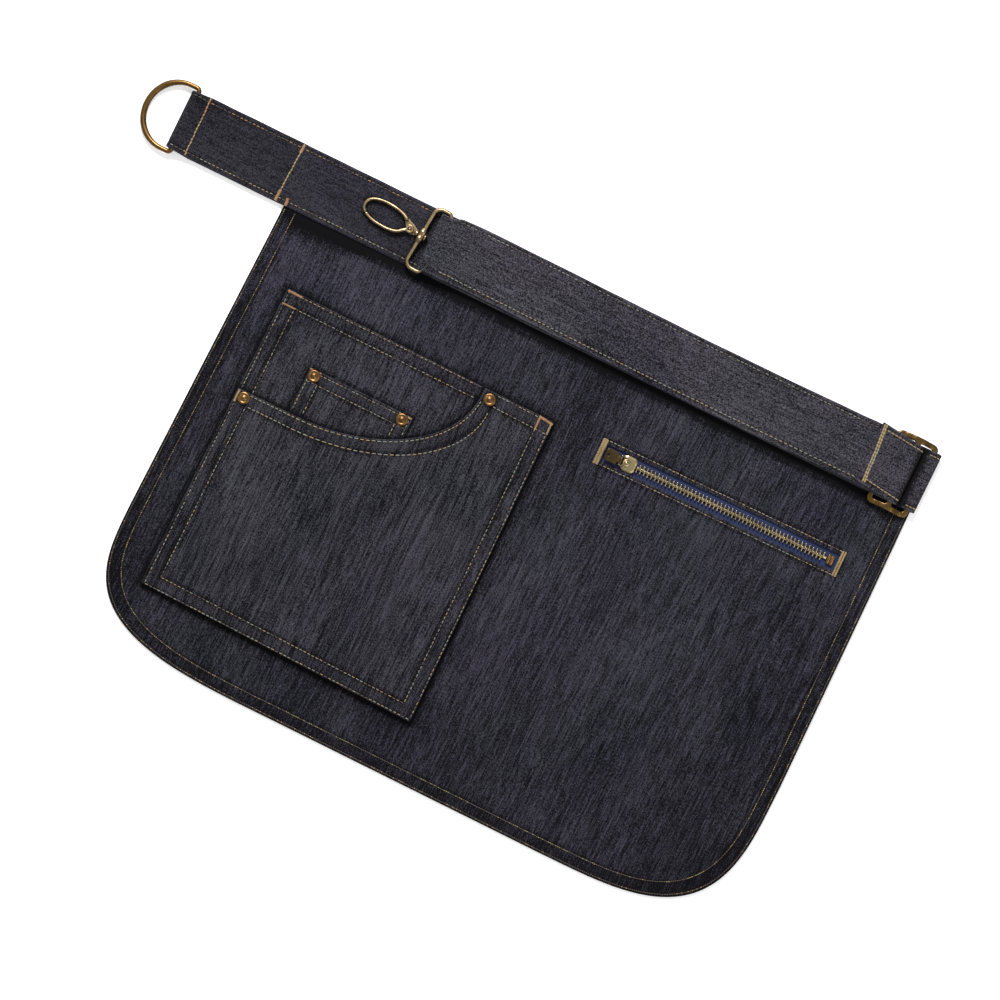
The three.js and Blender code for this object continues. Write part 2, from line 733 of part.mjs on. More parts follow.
function makeBag() {
  const x0 = zipLeft - bagMargin;
  const x1 = zipLeft + zipLength + bagMargin;
  const y1 = -zipTop + tapeMargin;
  return block(x0, x1, y1 - bagDepth, y1, 0, bagThickness);
}

function makeTeeth() {
  const parts = [toSolid(block(chainStart, chainStart + chainLength, -1.1, 1.1, 0, chainHeight * 0.7))];
  const count = Math.floor(chainLength / toothPitch);
  for (let i = 0; i < count; i += 1) {
    for (const side of [-1, 1]) {
      const x = chainStart + (i + 0.25 + (side > 0 ? 0.5 : 0)) * toothPitch;
      const far = (side * chainWidth) / 2;
      const near = -side * 0.6;
      const y0 = Math.min(far, near);
      const y1 = Math.max(far, near);
      parts.push(toSolid(block(x - toothWidth / 2, x + toothWidth / 2, y0, y1, 0, chainHeight)));
    }
  }
  return zipPlace(toGeometry(wasm.Manifold.union(parts)));
}

const zipSliderX = chainStart - gap - zipSliderLength;
const lugX = zipSliderX + 0.6;
const lugZ = zipSliderHeight - 1.0;

function makeZipSlider() {
  const w = zipSliderWidth / 2;
  const x = zipSliderX;
  const l = zipSliderLength;
  const outline = [
    { x: x + 1.6, y: -w * 0.72 }, { x: x + 4, y: -w }, { x: x + l - 2, y: -w }, { x: x + l, y: -w * 0.6 },
    { x: x + l, y: w * 0.6 }, { x: x + l - 2, y: w }, { x: x + 4, y: w }, { x: x + 1.6, y: w * 0.72 },
  ];
  const body = toSolid(prism(outline, 0, zipSliderHeight - 1.8));
  const dome = new THREE.CylinderGeometry(1.5, 2.1, 1.4, 12).rotateX(Math.PI / 2);
  const raised = body.add(toSolid(dome.translate(x + 6.5, 0, zipSliderHeight - 1.2)));
  const earThickness = 0.9;
  const inner = pullWidth / 2 - 1.6;
  const ears = [-1, 1].map((side) => {
    const y0 = side > 0 ? inner : -inner - earThickness;
    return toSolid(block(lugX - 1.2, lugX + 3, y0, y0 + earThickness, 1.0, lugZ + 1.1));
  });
  return zipPlace(toGeometry(raised.add(ears[0]).add(ears[1])));
}

function makePull() {
  const inner = pullWidth / 2 - 1.6 - gap;
  const barrel = new THREE.CylinderGeometry(0.9, 0.9, 2 * inner, 12).translate(lugX, 0, lugZ);
  const neck = block(lugX - 2.6, lugX, -inner, inner, lugZ - pullThickness / 2, lugZ + pullThickness / 2);
  const outline = [
    { x: lugX - 2.4, y: -pullWidth / 2 }, { x: lugX - 2.4, y: pullWidth / 2 },
    { x: lugX - pullLength + 1.2, y: pullWidth / 2 }, { x: lugX - pullLength, y: pullWidth / 2 - 1.2 },
    { x: lugX - pullLength, y: -pullWidth / 2 + 1.2 }, { x: lugX - pullLength + 1.2, y: -pullWidth / 2 },
  ];
  const leaf = toSolid(prism(outline, lugZ - pullThickness / 2, lugZ + pullThickness / 2));
  const hole = new THREE.CylinderGeometry(0.9, 0.9, 6, 10).rotateX(Math.PI / 2);
  const pierced = leaf.subtract(toSolid(hole.translate(lugX - pullLength + 2.2, 0, lugZ)));
  return zipPlace(toGeometry(pierced.add(toSolid(neck)).add(toSolid(barrel))));
}

function makeStop() {
  const x = chainStart + chainLength + gap;
  return zipPlace(block(x, x + stopLength, -stopWidth / 2, stopWidth / 2, 0, stopHeight));
}

// Finishes
const finish = (color, roughness, metalness) => ({ color, roughness, metalness });
const denim = finish(0x2e2d37, 0.92, 0);
const brass = finish(0x8a6426, 0.35, 1);
const darkBrass = finish(0x6e5423, 0.4, 1);
const copper = finish(0xa87a4a, 0.35, 1);
const tapeBlue = finish(0x1c3370, 0.85, 0);
const lining = finish(0x3a3942, 0.95, 0);

function piece(name, geometry, look) {
  geometry.deleteAttribute('uv');
  geometry.computeVertexNormals();
  const mesh = new THREE.Mesh(geometry, new THREE.MeshStandardMaterial(look));
  mesh.name = name;
  return mesh;
}

const apron = new THREE.Group();
apron.add(piece('skirt', makeSkirt(), denim));
apron.add(piece('waistband', makeWaistband(), denim));
apron.add(piece('strap', makeStrap(), denim));
apron.add(piece('strap_slider', makeSlider(), darkBrass));
apron.add(piece('pocket_back', makePocketBack(), denim));
apron.add(piece('pocket_front', makePocketFront(), denim));
apron.add(piece('coin_pocket', makeCoinPocket(), denim));
apron.add(piece('zip_bag', makeBag(), lining));
apron.add(piece('zip_tape', makeTape(), tapeBlue));
apron.add(piece('zip_teeth', makeTeeth(), brass));
apron.add(piece('zip_slider', makeZipSlider(), brass));
apron.add(piece('zip_pull', makePull(), darkBrass));
apron.add(piece('zip_stop', makeStop(), copper));

const onFront = frontBase + cloth;
const onCoin = coinBase + cloth;
const scoopLeft = { x: pocketLeft + rivetInset, y: -pocketTop - scoopDrop - 4.9 };
const scoopRight = { x: pocketLeft + scoopFlat + scoopAcross + rivetInset, y: -pocketTop - 8.2 };
const coinMiddle = pocketLeft + coinLeft + coinWidth / 2;
const coinRivetY = -pocketTop - coinTop - 4.75;
const coinRivetLeft = { x: coinMiddle - coinWidth / 2 + 4.7, y: coinRivetY + 0.15 };
const coinRivetRight = { x: coinMiddle + coinWidth / 2 - 6.6, y: coinRivetY - 0.15 };
const rivets = [
  { name: 'rivet_scoop_left', place: scoopLeft, base: onFront },
  { name: 'rivet_scoop_right', place: scoopRight, base: onFront },
  { name: 'rivet_coin_left', place: coinRivetLeft, base: onCoin },
  { name: 'rivet_coin_right', place: coinRivetRight, base: onCoin },
];
for (const { name, place, base } of rivets) {
  apron.add(piece(name, makeRivet(place.x, place.y, base), copper));
}

const ring = new THREE.Group();
const ringSink = Math.asin((ringBarZ - ringWire / 2) / ringReach);
ring.position.set(ringBarX, bandMiddle, ringBarZ);
ring.rotation.y = -ringSink;
ring.add(piece('d_ring', makeRing(), brass));
apron.add(ring);

const hook = new THREE.Group();
const hookDrop = loopBarZ - bandThickness - hookRest - hookWire / 2;
hook.position.set(loopBarX, bandMiddle + neckShift, loopBarZ);
hook.rotation.order = 'ZYX';
hook.rotation.z = THREE.MathUtils.degToRad(hookTurn);
hook.rotation.y = -Math.asin(hookDrop / (armHalf - armCentre));
hook.add(piece('hook_loop', makeLoop(), brass));
hook.add(piece('hook_body', makeHook(), brass));
hook.add(piece('hook_gate', makeGate(), brass));
apron.add(hook);

// The origin is the middle of the base
const bounds = new THREE.Box3().setFromObject(apron, true);
const middle = bounds.getCenter(new THREE.Vector3());
apron.position.set(-middle.x, -middle.y, -bounds.min.z);

export default apron;
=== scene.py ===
# Denim waist apron lying flat on its back on a pale floor, seen from straight above.
# Lengths in this file are millimetres. X runs right along the waistband, Y runs up towards it,
# and Z stands out of the front. The start is the top left corner of the waistband.
import math
import random

import bmesh
import bpy
import numpy as np
from mathutils import Matrix, Vector, noise
from mathutils.bvhtree import BVHTree
from mathutils.geometry import delaunay_2d_cdt
from mathutils.kdtree import KDTree


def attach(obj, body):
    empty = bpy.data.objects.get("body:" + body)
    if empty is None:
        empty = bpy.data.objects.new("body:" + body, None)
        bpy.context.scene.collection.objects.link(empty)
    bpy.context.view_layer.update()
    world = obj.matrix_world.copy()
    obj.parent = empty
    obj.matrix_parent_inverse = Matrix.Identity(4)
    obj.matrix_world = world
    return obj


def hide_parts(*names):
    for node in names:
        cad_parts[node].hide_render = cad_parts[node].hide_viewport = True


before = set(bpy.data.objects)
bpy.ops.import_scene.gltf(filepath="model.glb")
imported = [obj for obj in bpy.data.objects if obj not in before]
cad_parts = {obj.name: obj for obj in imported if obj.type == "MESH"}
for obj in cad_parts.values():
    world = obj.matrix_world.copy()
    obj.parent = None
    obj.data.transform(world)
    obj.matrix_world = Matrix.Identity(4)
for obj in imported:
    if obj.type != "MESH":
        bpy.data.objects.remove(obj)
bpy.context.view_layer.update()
rng = random.Random(11)

# Place of the drawing's start in the frame
START_X = -277.5203508
START_Y = 184.65

# Cloth and clearances
GAP = 0.3
CLOTH = 1.0
FRONT = 2 * CLOTH
HEM = 10.0

# Waistband and its tab
BAND_LENGTH = 579.0
BAND_WIDTH = 45.5
BAND_THICKNESS = 4.2
BAND_MIDDLE = -BAND_WIDTH / 2
TAB_LAYER = 1.95
TAB_LAP = 86.0
TUCK = 3.0

# Skirt
SKIRT_LEFT = 92.0
SKIRT_WIDTH = BAND_LENGTH - SKIRT_LEFT + 0.5
SKIRT_RIGHT = SKIRT_LEFT + SKIRT_WIDTH
SKIRT_TOP = -BAND_WIDTH
SKIRT_DROP = 328.0
SKIRT_BOTTOM = SKIRT_TOP - SKIRT_DROP
LEFT_FLARE = 4.8
RIGHT_FLARE = 3.2
LEFT_CORNER = (154.0, 91.0, 3.4)
RIGHT_CORNER = (131.0, 115.0, 3.5)
HEM_FALL = 1.2

# D-ring
RING_WIRE = 4.4
RING_HEIGHT = 53.2
RING_REACH = 30.0
RING_SHOULDER = 7.0
RING_CORNER = 2.5

# Strap
STRAP_WIDTH = 45.0
STRAP_THICKNESS = 1.6
STRAP_NECK = 42.4
STRAP_TUCK = 14.0
NECK_SHIFT = -0.7
SLIDER_X = BAND_LENGTH - 16.5
SLIDER_SHIFT = -1.1
SLIDER_LENGTH = 31.5
SLIDER_HEIGHT = 56.1
SLIDER_METAL = 1.6
SLIDER_BAR = 4.0
BAR_X = (SLIDER_LENGTH - SLIDER_BAR) / 2
LEVEL_STEP = STRAP_THICKNESS + GAP

# Swivel hook
LOOP_WIRE = 3.1
LOOP_LENGTH = 15.0
LOOP_HEIGHT = 49.4
HOOK_TURN = -4.5
HOOK_SINK = -2.007
BOSS_DIAMETER = 4.8
HOOK_WIRE = 2.3
HOOK_HALF_HEIGHT = 9.2
EYE_SET_BACK = 6.6
ARM_SET_BACK = 25.8
ARM_LENGTH = 45.4
ARM_FULLNESS = 2.25
LOOP_END_CORNER = 2.6
LOOP_FRONT_CORNER = 5.5

# Pockets
POCKET_LEFT = 120.2
POCKET_TOP = 96.0
POCKET_TOP_WIDTH = 208.0
POCKET_BOTTOM_WIDTH = 211.5
POCKET_HEIGHT = 229.5
POCKET_TOP_FALL = 2.5
POCKET_BOTTOM_FALL = 5.2
SCOOP_DROP = 77.7
SCOOP_FLAT = 44.5
SCOOP_ACROSS = 110.0
SCOOP_RISE = 70.4
COIN_LEFT = 38.7
COIN_TOP = 42.7
COIN_WIDTH = 79.8
COIN_HEIGHT = 49.0
POCKET_BASE = FRONT + GAP
COIN_BASE = POCKET_BASE + CLOTH + GAP
FRONT_BASE = COIN_BASE + CLOTH + GAP

# Zip
ZIP_LEFT = 369.6
ZIP_TOP = 95.9
ZIP_LENGTH = 179.0
ZIP_WINDOW = 12.2
ZIP_TURN = 0.7
ZIP_MIDDLE = ZIP_TOP + ZIP_WINDOW / 2
TAPE_THICKNESS = 0.8
TAPE_MARGIN = 6.0
CHAIN_WIDTH = 8.0
CHAIN_START = 24.5
CHAIN_LENGTH = 147.0
TOOTH_PITCH = 2.84
BAG_DEPTH = 120.0
BAG_LIFT = 1.0 + TAPE_THICKNESS + 2 * GAP - CLOTH

# Soft folds of the skirt, as shares of its width and drop
FOLDS = [
    (0.52, 0.22, 0.035, 0.20, 2.4, 0.10),
    (0.60, 0.62, 0.050, 0.28, 2.0, -0.12),
    (0.80, 0.72, 0.055, 0.24, 1.8, 0.16),
    (0.93, 0.50, 0.040, 0.26, 1.4, 0.05),
]


def metres(point):
    x, y, z = point
    return ((x + START_X) / 1000, (y + START_Y) / 1000, z / 1000)


def strap_level(n):
    """Middle height of the nth layer of the strap over the waistband."""
    return BAND_THICKNESS + GAP + STRAP_THICKNESS / 2 + (n - 1) * LEVEL_STEP


def smooth(value):
    t = min(max(value, 0.0), 1.0)
    return t * t * (3 - 2 * t)


def bump(value, wide):
    """One at nought, falling off like a bell curve."""
    return math.exp(-0.5 * (value / wide) ** 2)


def wander(x, y, scale, seed=0.0):
    """Soft noise from -1 to 1 with features of the given size in millimetres."""
    return noise.noise(Vector((x / scale, y / scale, 7.3 * seed)))


# Making pieces

def make_piece(name, points, faces, body, materials=()):
    mesh = bpy.data.meshes.new(name)
    mesh.from_pydata([metres(p) for p in points], [], faces)
    turning = bmesh.new()
    turning.from_mesh(mesh)
    bmesh.ops.recalc_face_normals(turning, faces=turning.faces)
    turning.to_mesh(mesh)
    turning.free()
    mesh.polygons.foreach_set("use_smooth", [True] * len(faces))
    for material in materials:
        mesh.materials.append(material)
    piece = bpy.data.objects.new(name, mesh)
    bpy.context.scene.collection.objects.link(piece)
    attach(piece, body)
    return piece


def moved(points, matrix):
    return [matrix @ Vector(p) for p in points]


class Parts:
    """Points and faces of several small solids that make one mesh."""

    def __init__(self):
        self.points = []
        self.faces = []
        self.kinds = []

    def add(self, points, faces, kind=0):
        base = len(self.points)
        self.points.extend(points)
        self.faces.extend([tuple(base + i for i in face) for face in faces])
        self.kinds.extend([kind] * len(faces))

    def put(self, shape, matrix):
        """Adds a shape of (points, faces) at the place that a matrix gives."""
        self.add(moved(shape[0], matrix), shape[1])

    def piece(self, name, body, materials):
        made = make_piece(name, self.points, self.faces, body, materials)
        made.data.polygons.foreach_set("material_index", self.kinds)
        return made


def loft(sections, closed=False):
    """Faces between equal rings of points."""
    count = len(sections[0])
    points = [p for section in sections for p in section]
    faces = []
    last = len(sections) if closed else len(sections) - 1
    for i in range(last):
        here = i * count
        after = ((i + 1) % len(sections)) * count
        for j in range(count):
            k = (j + 1) % count
            faces.append((here + j, here + k, after + k, after + j))
    if not closed:
        end = (len(sections) - 1) * count
        faces.append(tuple(range(count - 1, -1, -1)))
        faces.append(tuple(range(end, end + count)))
    return points, faces


def tube(path, radius, sides, closed=False, round_ends=False):
    """A round wire along a path that lies about flat. The radius may be a function of the share."""
    up = Vector((0, 0, 1))
    total = len(path)
    path = [Vector(p) for p in path]
    sections = []
    for i, point in enumerate(path):
        before = path[(i - 1) % total] if closed else path[max(i - 1, 0)]
        after = path[(i + 1) % total] if closed else path[min(i + 1, total - 1)]
        along = (after - before).normalized()
        side = up.cross(along).normalized()
        rise = along.cross(side)
        size = radius(i / (total - 1)) if callable(radius) else radius
        ring = []
        for k in range(sides):
            angle = 2 * math.pi * k / sides
            ring.append(point + side * (size * math.cos(angle)) + rise * (size * math.sin(angle)))
        sections.append(ring)
    if round_ends and not closed:
        for end, inner in ((0, 1), (-1, -2)):
            out = (path[end] - path[inner]).normalized()
            middle = path[end]
            size = (sections[end][0] - middle).length
            extra = []
            for share in (0.45, 0.8, 0.97):
                shrink = math.sqrt(1 - share * share)
                extra.append([middle + (p - middle) * shrink + out * (size * share) for p in sections[end]])
            sections = extra[::-1] + sections if end == 0 else sections + extra
    return loft(sections, closed)


def turned(profile, axis_point, matrix=None, sides=32):
    """A solid of revolution about Z from (radius, height) pairs, moved by a matrix."""
    points = []
    rings = []
    for r, z in profile:
        if r < 1e-6:
            rings.append([len(points)])
            points.append(Vector((0, 0, z)))
        else:
            rings.append(list(range(len(points), len(points) + sides)))
            for k in range(sides):
                angle = 2 * math.pi * k / sides
                points.append(Vector((r * math.cos(angle), r * math.sin(angle), z)))
    faces = []
    for low, high in zip(rings, rings[1:]):
        for k in range(sides):
            n = (k + 1) % sides
            if len(low) == 1:
                faces.append((low[0], high[n], high[k])[::-1])
            elif len(high) == 1:
                faces.append((low[k], low[n], high[0]))
            else:
                faces.append((low[k], low[n], high[n], high[k]))
    if matrix is not None:
        points = moved(points, matrix)
    return [p + Vector(axis_point) for p in points], faces


def soft_box(x0, x1, y0, y1, z0, z1, edge=0.25):
    """A small block with rounded upright edges and a rounded top and bottom."""
    rings = []
    levels = ((z0, edge), (z0 + edge, 0.0), (z1 - edge, 0.0), (z1 - edge * 0.3, edge * 0.35), (z1, edge))
    for z, inset in levels:
        a, b, c, d = x0 + inset, x1 - inset, y0 + inset, y1 - inset
        rings.append([
            (a + edge, c, z), (b - edge, c, z), (b, c + edge, z), (b, d - edge, z),
            (b - edge, d, z), (a + edge, d, z), (a, d - edge, z), (a, c + edge, z),
        ])
    return loft(rings)


def even(points, step, closed=True):
    """The same line with points an even step apart; sharp corners keep a point."""
    points = [Vector((p[0], p[1])) for p in points]
    out = []
    for a, b in zip(points, points[1:] + points[:1] if closed else points[1:]):
        count = max(1, round((b - a).length / step))
        out.extend(a.lerp(b, i / count) for i in range(count))
    if not closed:
        out.append(points[-1])
    return out


def find_near(points):
    """A tree that finds the nearest of a line's points."""
    tree = KDTree(len(points))
    for i, p in enumerate(points):
        tree.insert((p[0], p[1], 0), i)
    tree.balance()
    return tree


def inside(polygon, xs, ys):
    """True for each place inside a polygon."""
    result = np.zeros(len(xs), dtype=bool)
    px = np.array([p[0] for p in polygon])
    py = np.array([p[1] for p in polygon])
    j = len(px) - 1
    for i in range(len(px)):
        crosses = (py[i] > ys) != (py[j] > ys)
        if crosses.any():
            cut = (px[j] - px[i]) * (ys - py[i]) / (py[j] - py[i] + 1e-12) + px[i]
            result ^= crosses & (xs < cut)
        j = i
    return result


def on_cloth(loops, places):
    """True for each place inside the first loop and outside the others."""
    xs = np.array([p[0] for p in places])
    ys = np.array([p[1] for p in places])
    keep = inside(loops[0], xs, ys)
    for loop in loops[1:]:
        keep &= ~inside(loop, xs, ys)
    return keep


def sheet_mesh(outline, holes, top, bottom, spacing, rings, edge_step):
    """A cloth or plate of any outline. top and bottom give heights from x, y, the distance to the
    nearest edge and the place along it; both meet in one line at the edge."""
    loops = [even(outline, edge_step)] + [even(hole, edge_step) for hole in holes]
    flat_points = []
    edges = []
    tree_points = []
    for loop in loops:
        base = len(flat_points)
        flat_points.extend(loop)
        edges.extend((base + i, base + (i + 1) % len(loop)) for i in range(len(loop)))
        tree_points.extend(even(loop, edge_step / 3))
    tree = find_near(tree_points)

    def near(p):
        _, index, distance = tree.find((p[0], p[1], 0))
        return distance, index * edge_step / 3

    for loop, sign in zip(loops, [1] + [-1] * len(holes)):
        area = sum(a[0] * b[1] - b[0] * a[1] for a, b in zip(loop, loop[1:] + loop[:1]))
        turn = sign * (1 if area > 0 else -1)
        for ring in rings:
            for i, p in enumerate(loop):
                along = (loop[(i + 1) % len(loop)] - loop[i - 1]).normalized()
                q = p + Vector((-along[1], along[0])) * (ring * turn)
                if near(q)[0] > ring * 0.97:
                    flat_points.append(q)
    xs = [p[0] for p in loops[0]]
    ys = [p[1] for p in loops[0]]
    row_step = spacing * 0.866
    rows = int((max(ys) - min(ys)) / row_step) + 1
    columns = int((max(xs) - min(xs)) / spacing) + 2
    grid = []
    for r in range(rows):
        for c in range(columns):
            grid.append((min(xs) + (c + 0.5 * (r % 2)) * spacing, min(ys) + r * row_step))
    for g, good in zip(grid, on_cloth(loops, grid)):
        if good and near(g)[0] > rings[-1] + spacing * 0.55:
            flat_points.append(Vector(g))
    made = delaunay_2d_cdt(flat_points, edges, [], 0, 1e-5)
    verts, faces = made[0], made[2]
    centres = [(sum(verts[i][0] for i in f) / 3, sum(verts[i][1] for i in f) / 3) for f in faces]
    faces = [f for f, good in zip(faces, on_cloth(loops, centres)) if good]
    used = sorted({i for f in faces for i in f})
    border = set()
    count = {}
    for f in faces:
        for a, b in zip(f, f[1:] + f[:1]):
            key = (min(a, b), max(a, b))
            count[key] = count.get(key, 0) + 1
    for (a, b), times in count.items():
        if times == 1:
            border.update((a, b))
    points = []
    marks = []
    upper = {}
    lower = {}
    for i in used:
        x, y = verts[i]
        distance, along = near((x, y))
        if i in border:
            distance = 0.0
        high = top(x, y, distance, along)
        low = bottom(x, y, distance, along)
        heights = [(high + low) / 2] if i in border else [high, low]
        upper[i] = len(points)
        lower[i] = len(points) + len(heights) - 1
        points.extend((x, y, z) for z in heights)
        marks.extend([(distance, along)] * len(heights))
    out = []
    for f in faces:
        a, b, c = (Vector(verts[i]) for i in f)
        if (b - a).cross(c - a) < 0:
            f = f[::-1]
        out.append(tuple(upper[i] for i in f))
        out.append(tuple(lower[i] for i in f[::-1]))
    return points, out, marks


def rounded(distance, radius):
    """Share of the full thickness at a distance from a rounded edge."""
    if distance >= radius:
        return 1.0
    return math.sqrt(max(0.0, 1 - (1 - distance / radius) ** 2))


def skirt_lift(x, y):
    """Rise of the skirt over its folds, over the zip's bag, and into the waistband."""
    across = (x - SKIRT_LEFT) / SKIRT_WIDTH
    down = (SKIRT_TOP - y) / SKIRT_DROP
    lift = 0.0
    for at_across, at_down, wide, long, high, lean in FOLDS:
        a = (across - at_across - lean * (down - at_down)) / wide
        d = (down - at_down) / long
        lift += high * math.exp(-0.5 * (a * a + d * d))
    clear_of_pocket = smooth((x - (POCKET_LEFT + POCKET_BOTTOM_WIDTH)) / 60)
    at_hem = smooth((y - SKIRT_BOTTOM) / 50)
    zip_side = smooth((x - (ZIP_LEFT - 60)) / 36) * smooth((SKIRT_RIGHT + 30 - x) / 36)
    zip_depth = smooth((y + ZIP_TOP + BAG_DEPTH + 60) / 36)
    slot_floor = (BAND_THICKNESS - CLOTH - 2 * GAP) / 2
    tuck_lift = slot_floor + GAP - CLOTH
    tucked = smooth((y - SKIRT_TOP + 28) / 20)
    free = BAG_LIFT * zip_side * zip_depth + lift * clear_of_pocket * at_hem
    return free * (1 - tucked) + tuck_lift * tucked


# Materials

def add_node(tree, kind, inputs=None, **settings):
    node = tree.nodes.new(kind)
    for key, value in settings.items():
        setattr(node, key, value)
    for key, value in (inputs or {}).items():
        if isinstance(value, bpy.types.NodeSocket):
            tree.links.new(value, node.inputs[key])
        else:
            node.inputs[key].default_value = value
    return node


def calc(tree, operation, a, b):
    return add_node(tree, "ShaderNodeMath", {0: a, 1: b}, operation=operation).outputs[0]


def weighted(tree, start, parts, clamp=False):
    """The sum of a number and of values with their weights."""
    total = start
    for i, (value, weight) in enumerate(parts):
        last = clamp and i == len(parts) - 1
        inputs = {0: value, 1: weight, 2: total}
        total = add_node(tree, "ShaderNodeMath", inputs, operation="MULTIPLY_ADD", use_clamp=last).outputs[0]
    return total


def blend_colours(tree, share, a, b, mode="MIX"):
    node = add_node(tree, "ShaderNodeMix", {0: share, 6: a, 7: b}, data_type="RGBA", blend_type=mode)
    return node.outputs[2]


def between(tree, value, low, high, to_low=0.0, to_high=1.0):
    """A value moved from one range to another."""
    inputs = {0: value, 1: low, 2: high, 3: to_low, 4: to_high}
    return add_node(tree, "ShaderNodeMapRange", inputs).outputs[0]


def grain(tree, place, size, detail=2.0, turn=0.0, distortion=0.0):
    """Noise with features of the given sizes in millimetres along each way."""
    scale = tuple(1000 / s for s in size)
    mapped = add_node(tree, "ShaderNodeMapping", {"Vector": place, "Rotation": (0, 0, turn)}).outputs[0]
    stretched = add_node(tree, "ShaderNodeMapping", {"Vector": mapped, "Scale": scale}).outputs[0]
    inputs = {"Vector": stretched, "Scale": 1.0, "Detail": detail, "Distortion": distortion}
    return add_node(tree, "ShaderNodeTexNoise", inputs).outputs[0]


def new_material(name, **constants):
    material = bpy.data.materials.new(name)
    material.use_nodes = True
    tree = material.node_tree
    shader = tree.nodes["Principled BSDF"]
    for key, value in constants.items():
        shader.inputs[key.replace("_", " ")].default_value = value
    place = add_node(tree, "ShaderNodeTexCoord").outputs["Object"]
    tone = add_node(tree, "ShaderNodeAttribute", attribute_name="tone").outputs["Fac"]
    return material, tree, shader, place, tone


def set_bump(tree, shader, height, depth, strength=1.0):
    inputs = {"Height": height, "Distance": depth / 1000, "Strength": strength}
    tree.links.new(add_node(tree, "ShaderNodeBump", inputs).outputs[0], shader.inputs["Normal"])


def colour(r, g, b):
    """A display colour from 0 to 255 as the linear colour that a shader takes."""
    shares = [c / 255 for c in (r, g, b)]
    return tuple(((c + 0.055) / 1.055) ** 2.4 if c > 0.04 else c / 12.92 for c in shares) + (1,)


def make_denim(name, dark, light, turn=0.0, streaks=1.0):
    """Raw denim: streaks along the warp, slubs, pale specks of weft, a twill and broad patches."""
    material, tree, shader, place, tone = new_material(name, Roughness=0.95, Sheen_Weight=0.04)
    shader.inputs["Sheen Roughness"].default_value = 0.5
    shader.inputs["Specular IOR Level"].default_value = 0.12
    streak = grain(tree, place, (1.3, 45, 30), 3.0, turn)
    fine = grain(tree, place, (1.0, 14, 12), 1.0, turn)
    specks = grain(tree, place, (0.9, 1.2, 1.2), 2.0, turn, 0.4)
    grit = grain(tree, place, (0.6, 0.8, 0.6), 1.0, turn)
    patch = grain(tree, place, (55, 90, 60), 3.0, turn)
    tint = grain(tree, place, (80, 140, 60), 2.0, turn + 0.4)
    mapped = add_node(tree, "ShaderNodeMapping", {"Vector": place, "Scale": (520, 520, 520)}).outputs[0]
    wave_inputs = {"Vector": mapped, "Scale": 1.0, "Distortion": 1.2, "Detail": 1.0, "Detail Scale": 2.0}
    twill = add_node(tree, "ShaderNodeTexWave", wave_inputs, bands_direction="DIAGONAL").outputs["Fac"]
    parts = [
        (streak, 0.9 * streaks), (fine, 1.3 * streaks), (specks, 1.7),
        (grit, 1.5), (patch, 0.6), (twill, 0.2),
    ]
    total = weighted(tree, 0.42 - sum(weight for _, weight in parts) / 2, [(tone, 1.0)] + parts)
    share = calc(tree, "POWER", calc(tree, "MAXIMUM", total, 0.0), 1.25)
    base = blend_colours(tree, calc(tree, "MINIMUM", share, 1.6), dark, light)
    warm = blend_colours(tree, between(tree, tint, 0.35, 0.7, 0, 0.6), base, (1.06, 0.9, 1.08, 1), "MULTIPLY")
    blue = blend_colours(tree, between(tree, patch, 0.5, 0.3, 0, 0.5), warm, (0.9, 0.97, 1.12, 1), "MULTIPLY")
    tree.links.new(blue, shader.inputs["Base Color"])
    set_bump(tree, shader, weighted(tree, 0.0, [(specks, 0.8), (twill, 0.35), (fine, 0.5)]), 0.35, 0.55)
    return material


def make_metal(name, deep, bright, rough_low=0.28, rough_high=0.5, mottle=1.0):
    """Plated metal: darker patina in patches, with painted shade down the sides and a painted highlight on
    the front from the tone attribute.
    """
    material, tree, shader, place, tone = new_material(name, Metallic=1.0)
    patina = grain(tree, place, (7, 7, 7), 4.0)
    spots = grain(tree, place, (1.3, 1.3, 1.3), 3.0)
    scratch = grain(tree, place, (0.5, 6, 2), 2.0, 0.5)
    parts = [(patina, 1.1 * mottle), (spots, 0.9 * mottle), (scratch, 0.25)]
    middle = 0.5 - sum(weight for _, weight in parts) / 2
    value = weighted(tree, middle, parts + [(tone, 1.0)], clamp=True)
    tree.links.new(blend_colours(tree, value, deep, bright), shader.inputs["Base Color"])
    tree.links.new(between(tree, value, 0, 1, rough_high, rough_low), shader.inputs["Roughness"])
    set_bump(tree, shader, weighted(tree, 0.0, [(spots, 1.0), (scratch, 0.4)]), 0.08, 0.35)
    return material


def make_thread(name, dark, light):
    """Twisted sewing thread with colour that drifts along a seam."""
    material, tree, shader, place, tone = new_material(name, Roughness=0.75, Sheen_Weight=0.25)
    drift = grain(tree, place, (9, 9, 9), 2.0)
    fibre = grain(tree, place, (0.35, 0.35, 0.35), 1.0)
    value = weighted(tree, -0.2, [(drift, 0.9), (fibre, 0.5), (tone, 1.0)], clamp=True)
    tree.links.new(blend_colours(tree, value, dark, light), shader.inputs["Base Color"])
    set_bump(tree, shader, fibre, 0.12, 0.6)
    return material


def make_tape_cloth(name, dark, light, rib):
    """Fine ribbed tape or plain lining."""
    material, tree, shader, place, tone = new_material(name, Roughness=0.85, Sheen_Weight=0.2)
    ribs = grain(tree, place, (rib, 14, 10), 1.0)
    weave = grain(tree, place, (0.5, 0.5, 0.5), 2.0)
    value = weighted(tree, -0.25, [(ribs, 0.8), (weave, 0.7), (tone, 1.0)], clamp=True)
    tree.links.new(blend_colours(tree, value, dark, light), shader.inputs["Base Color"])
    set_bump(tree, shader, value, 0.2, 0.6)
    return material


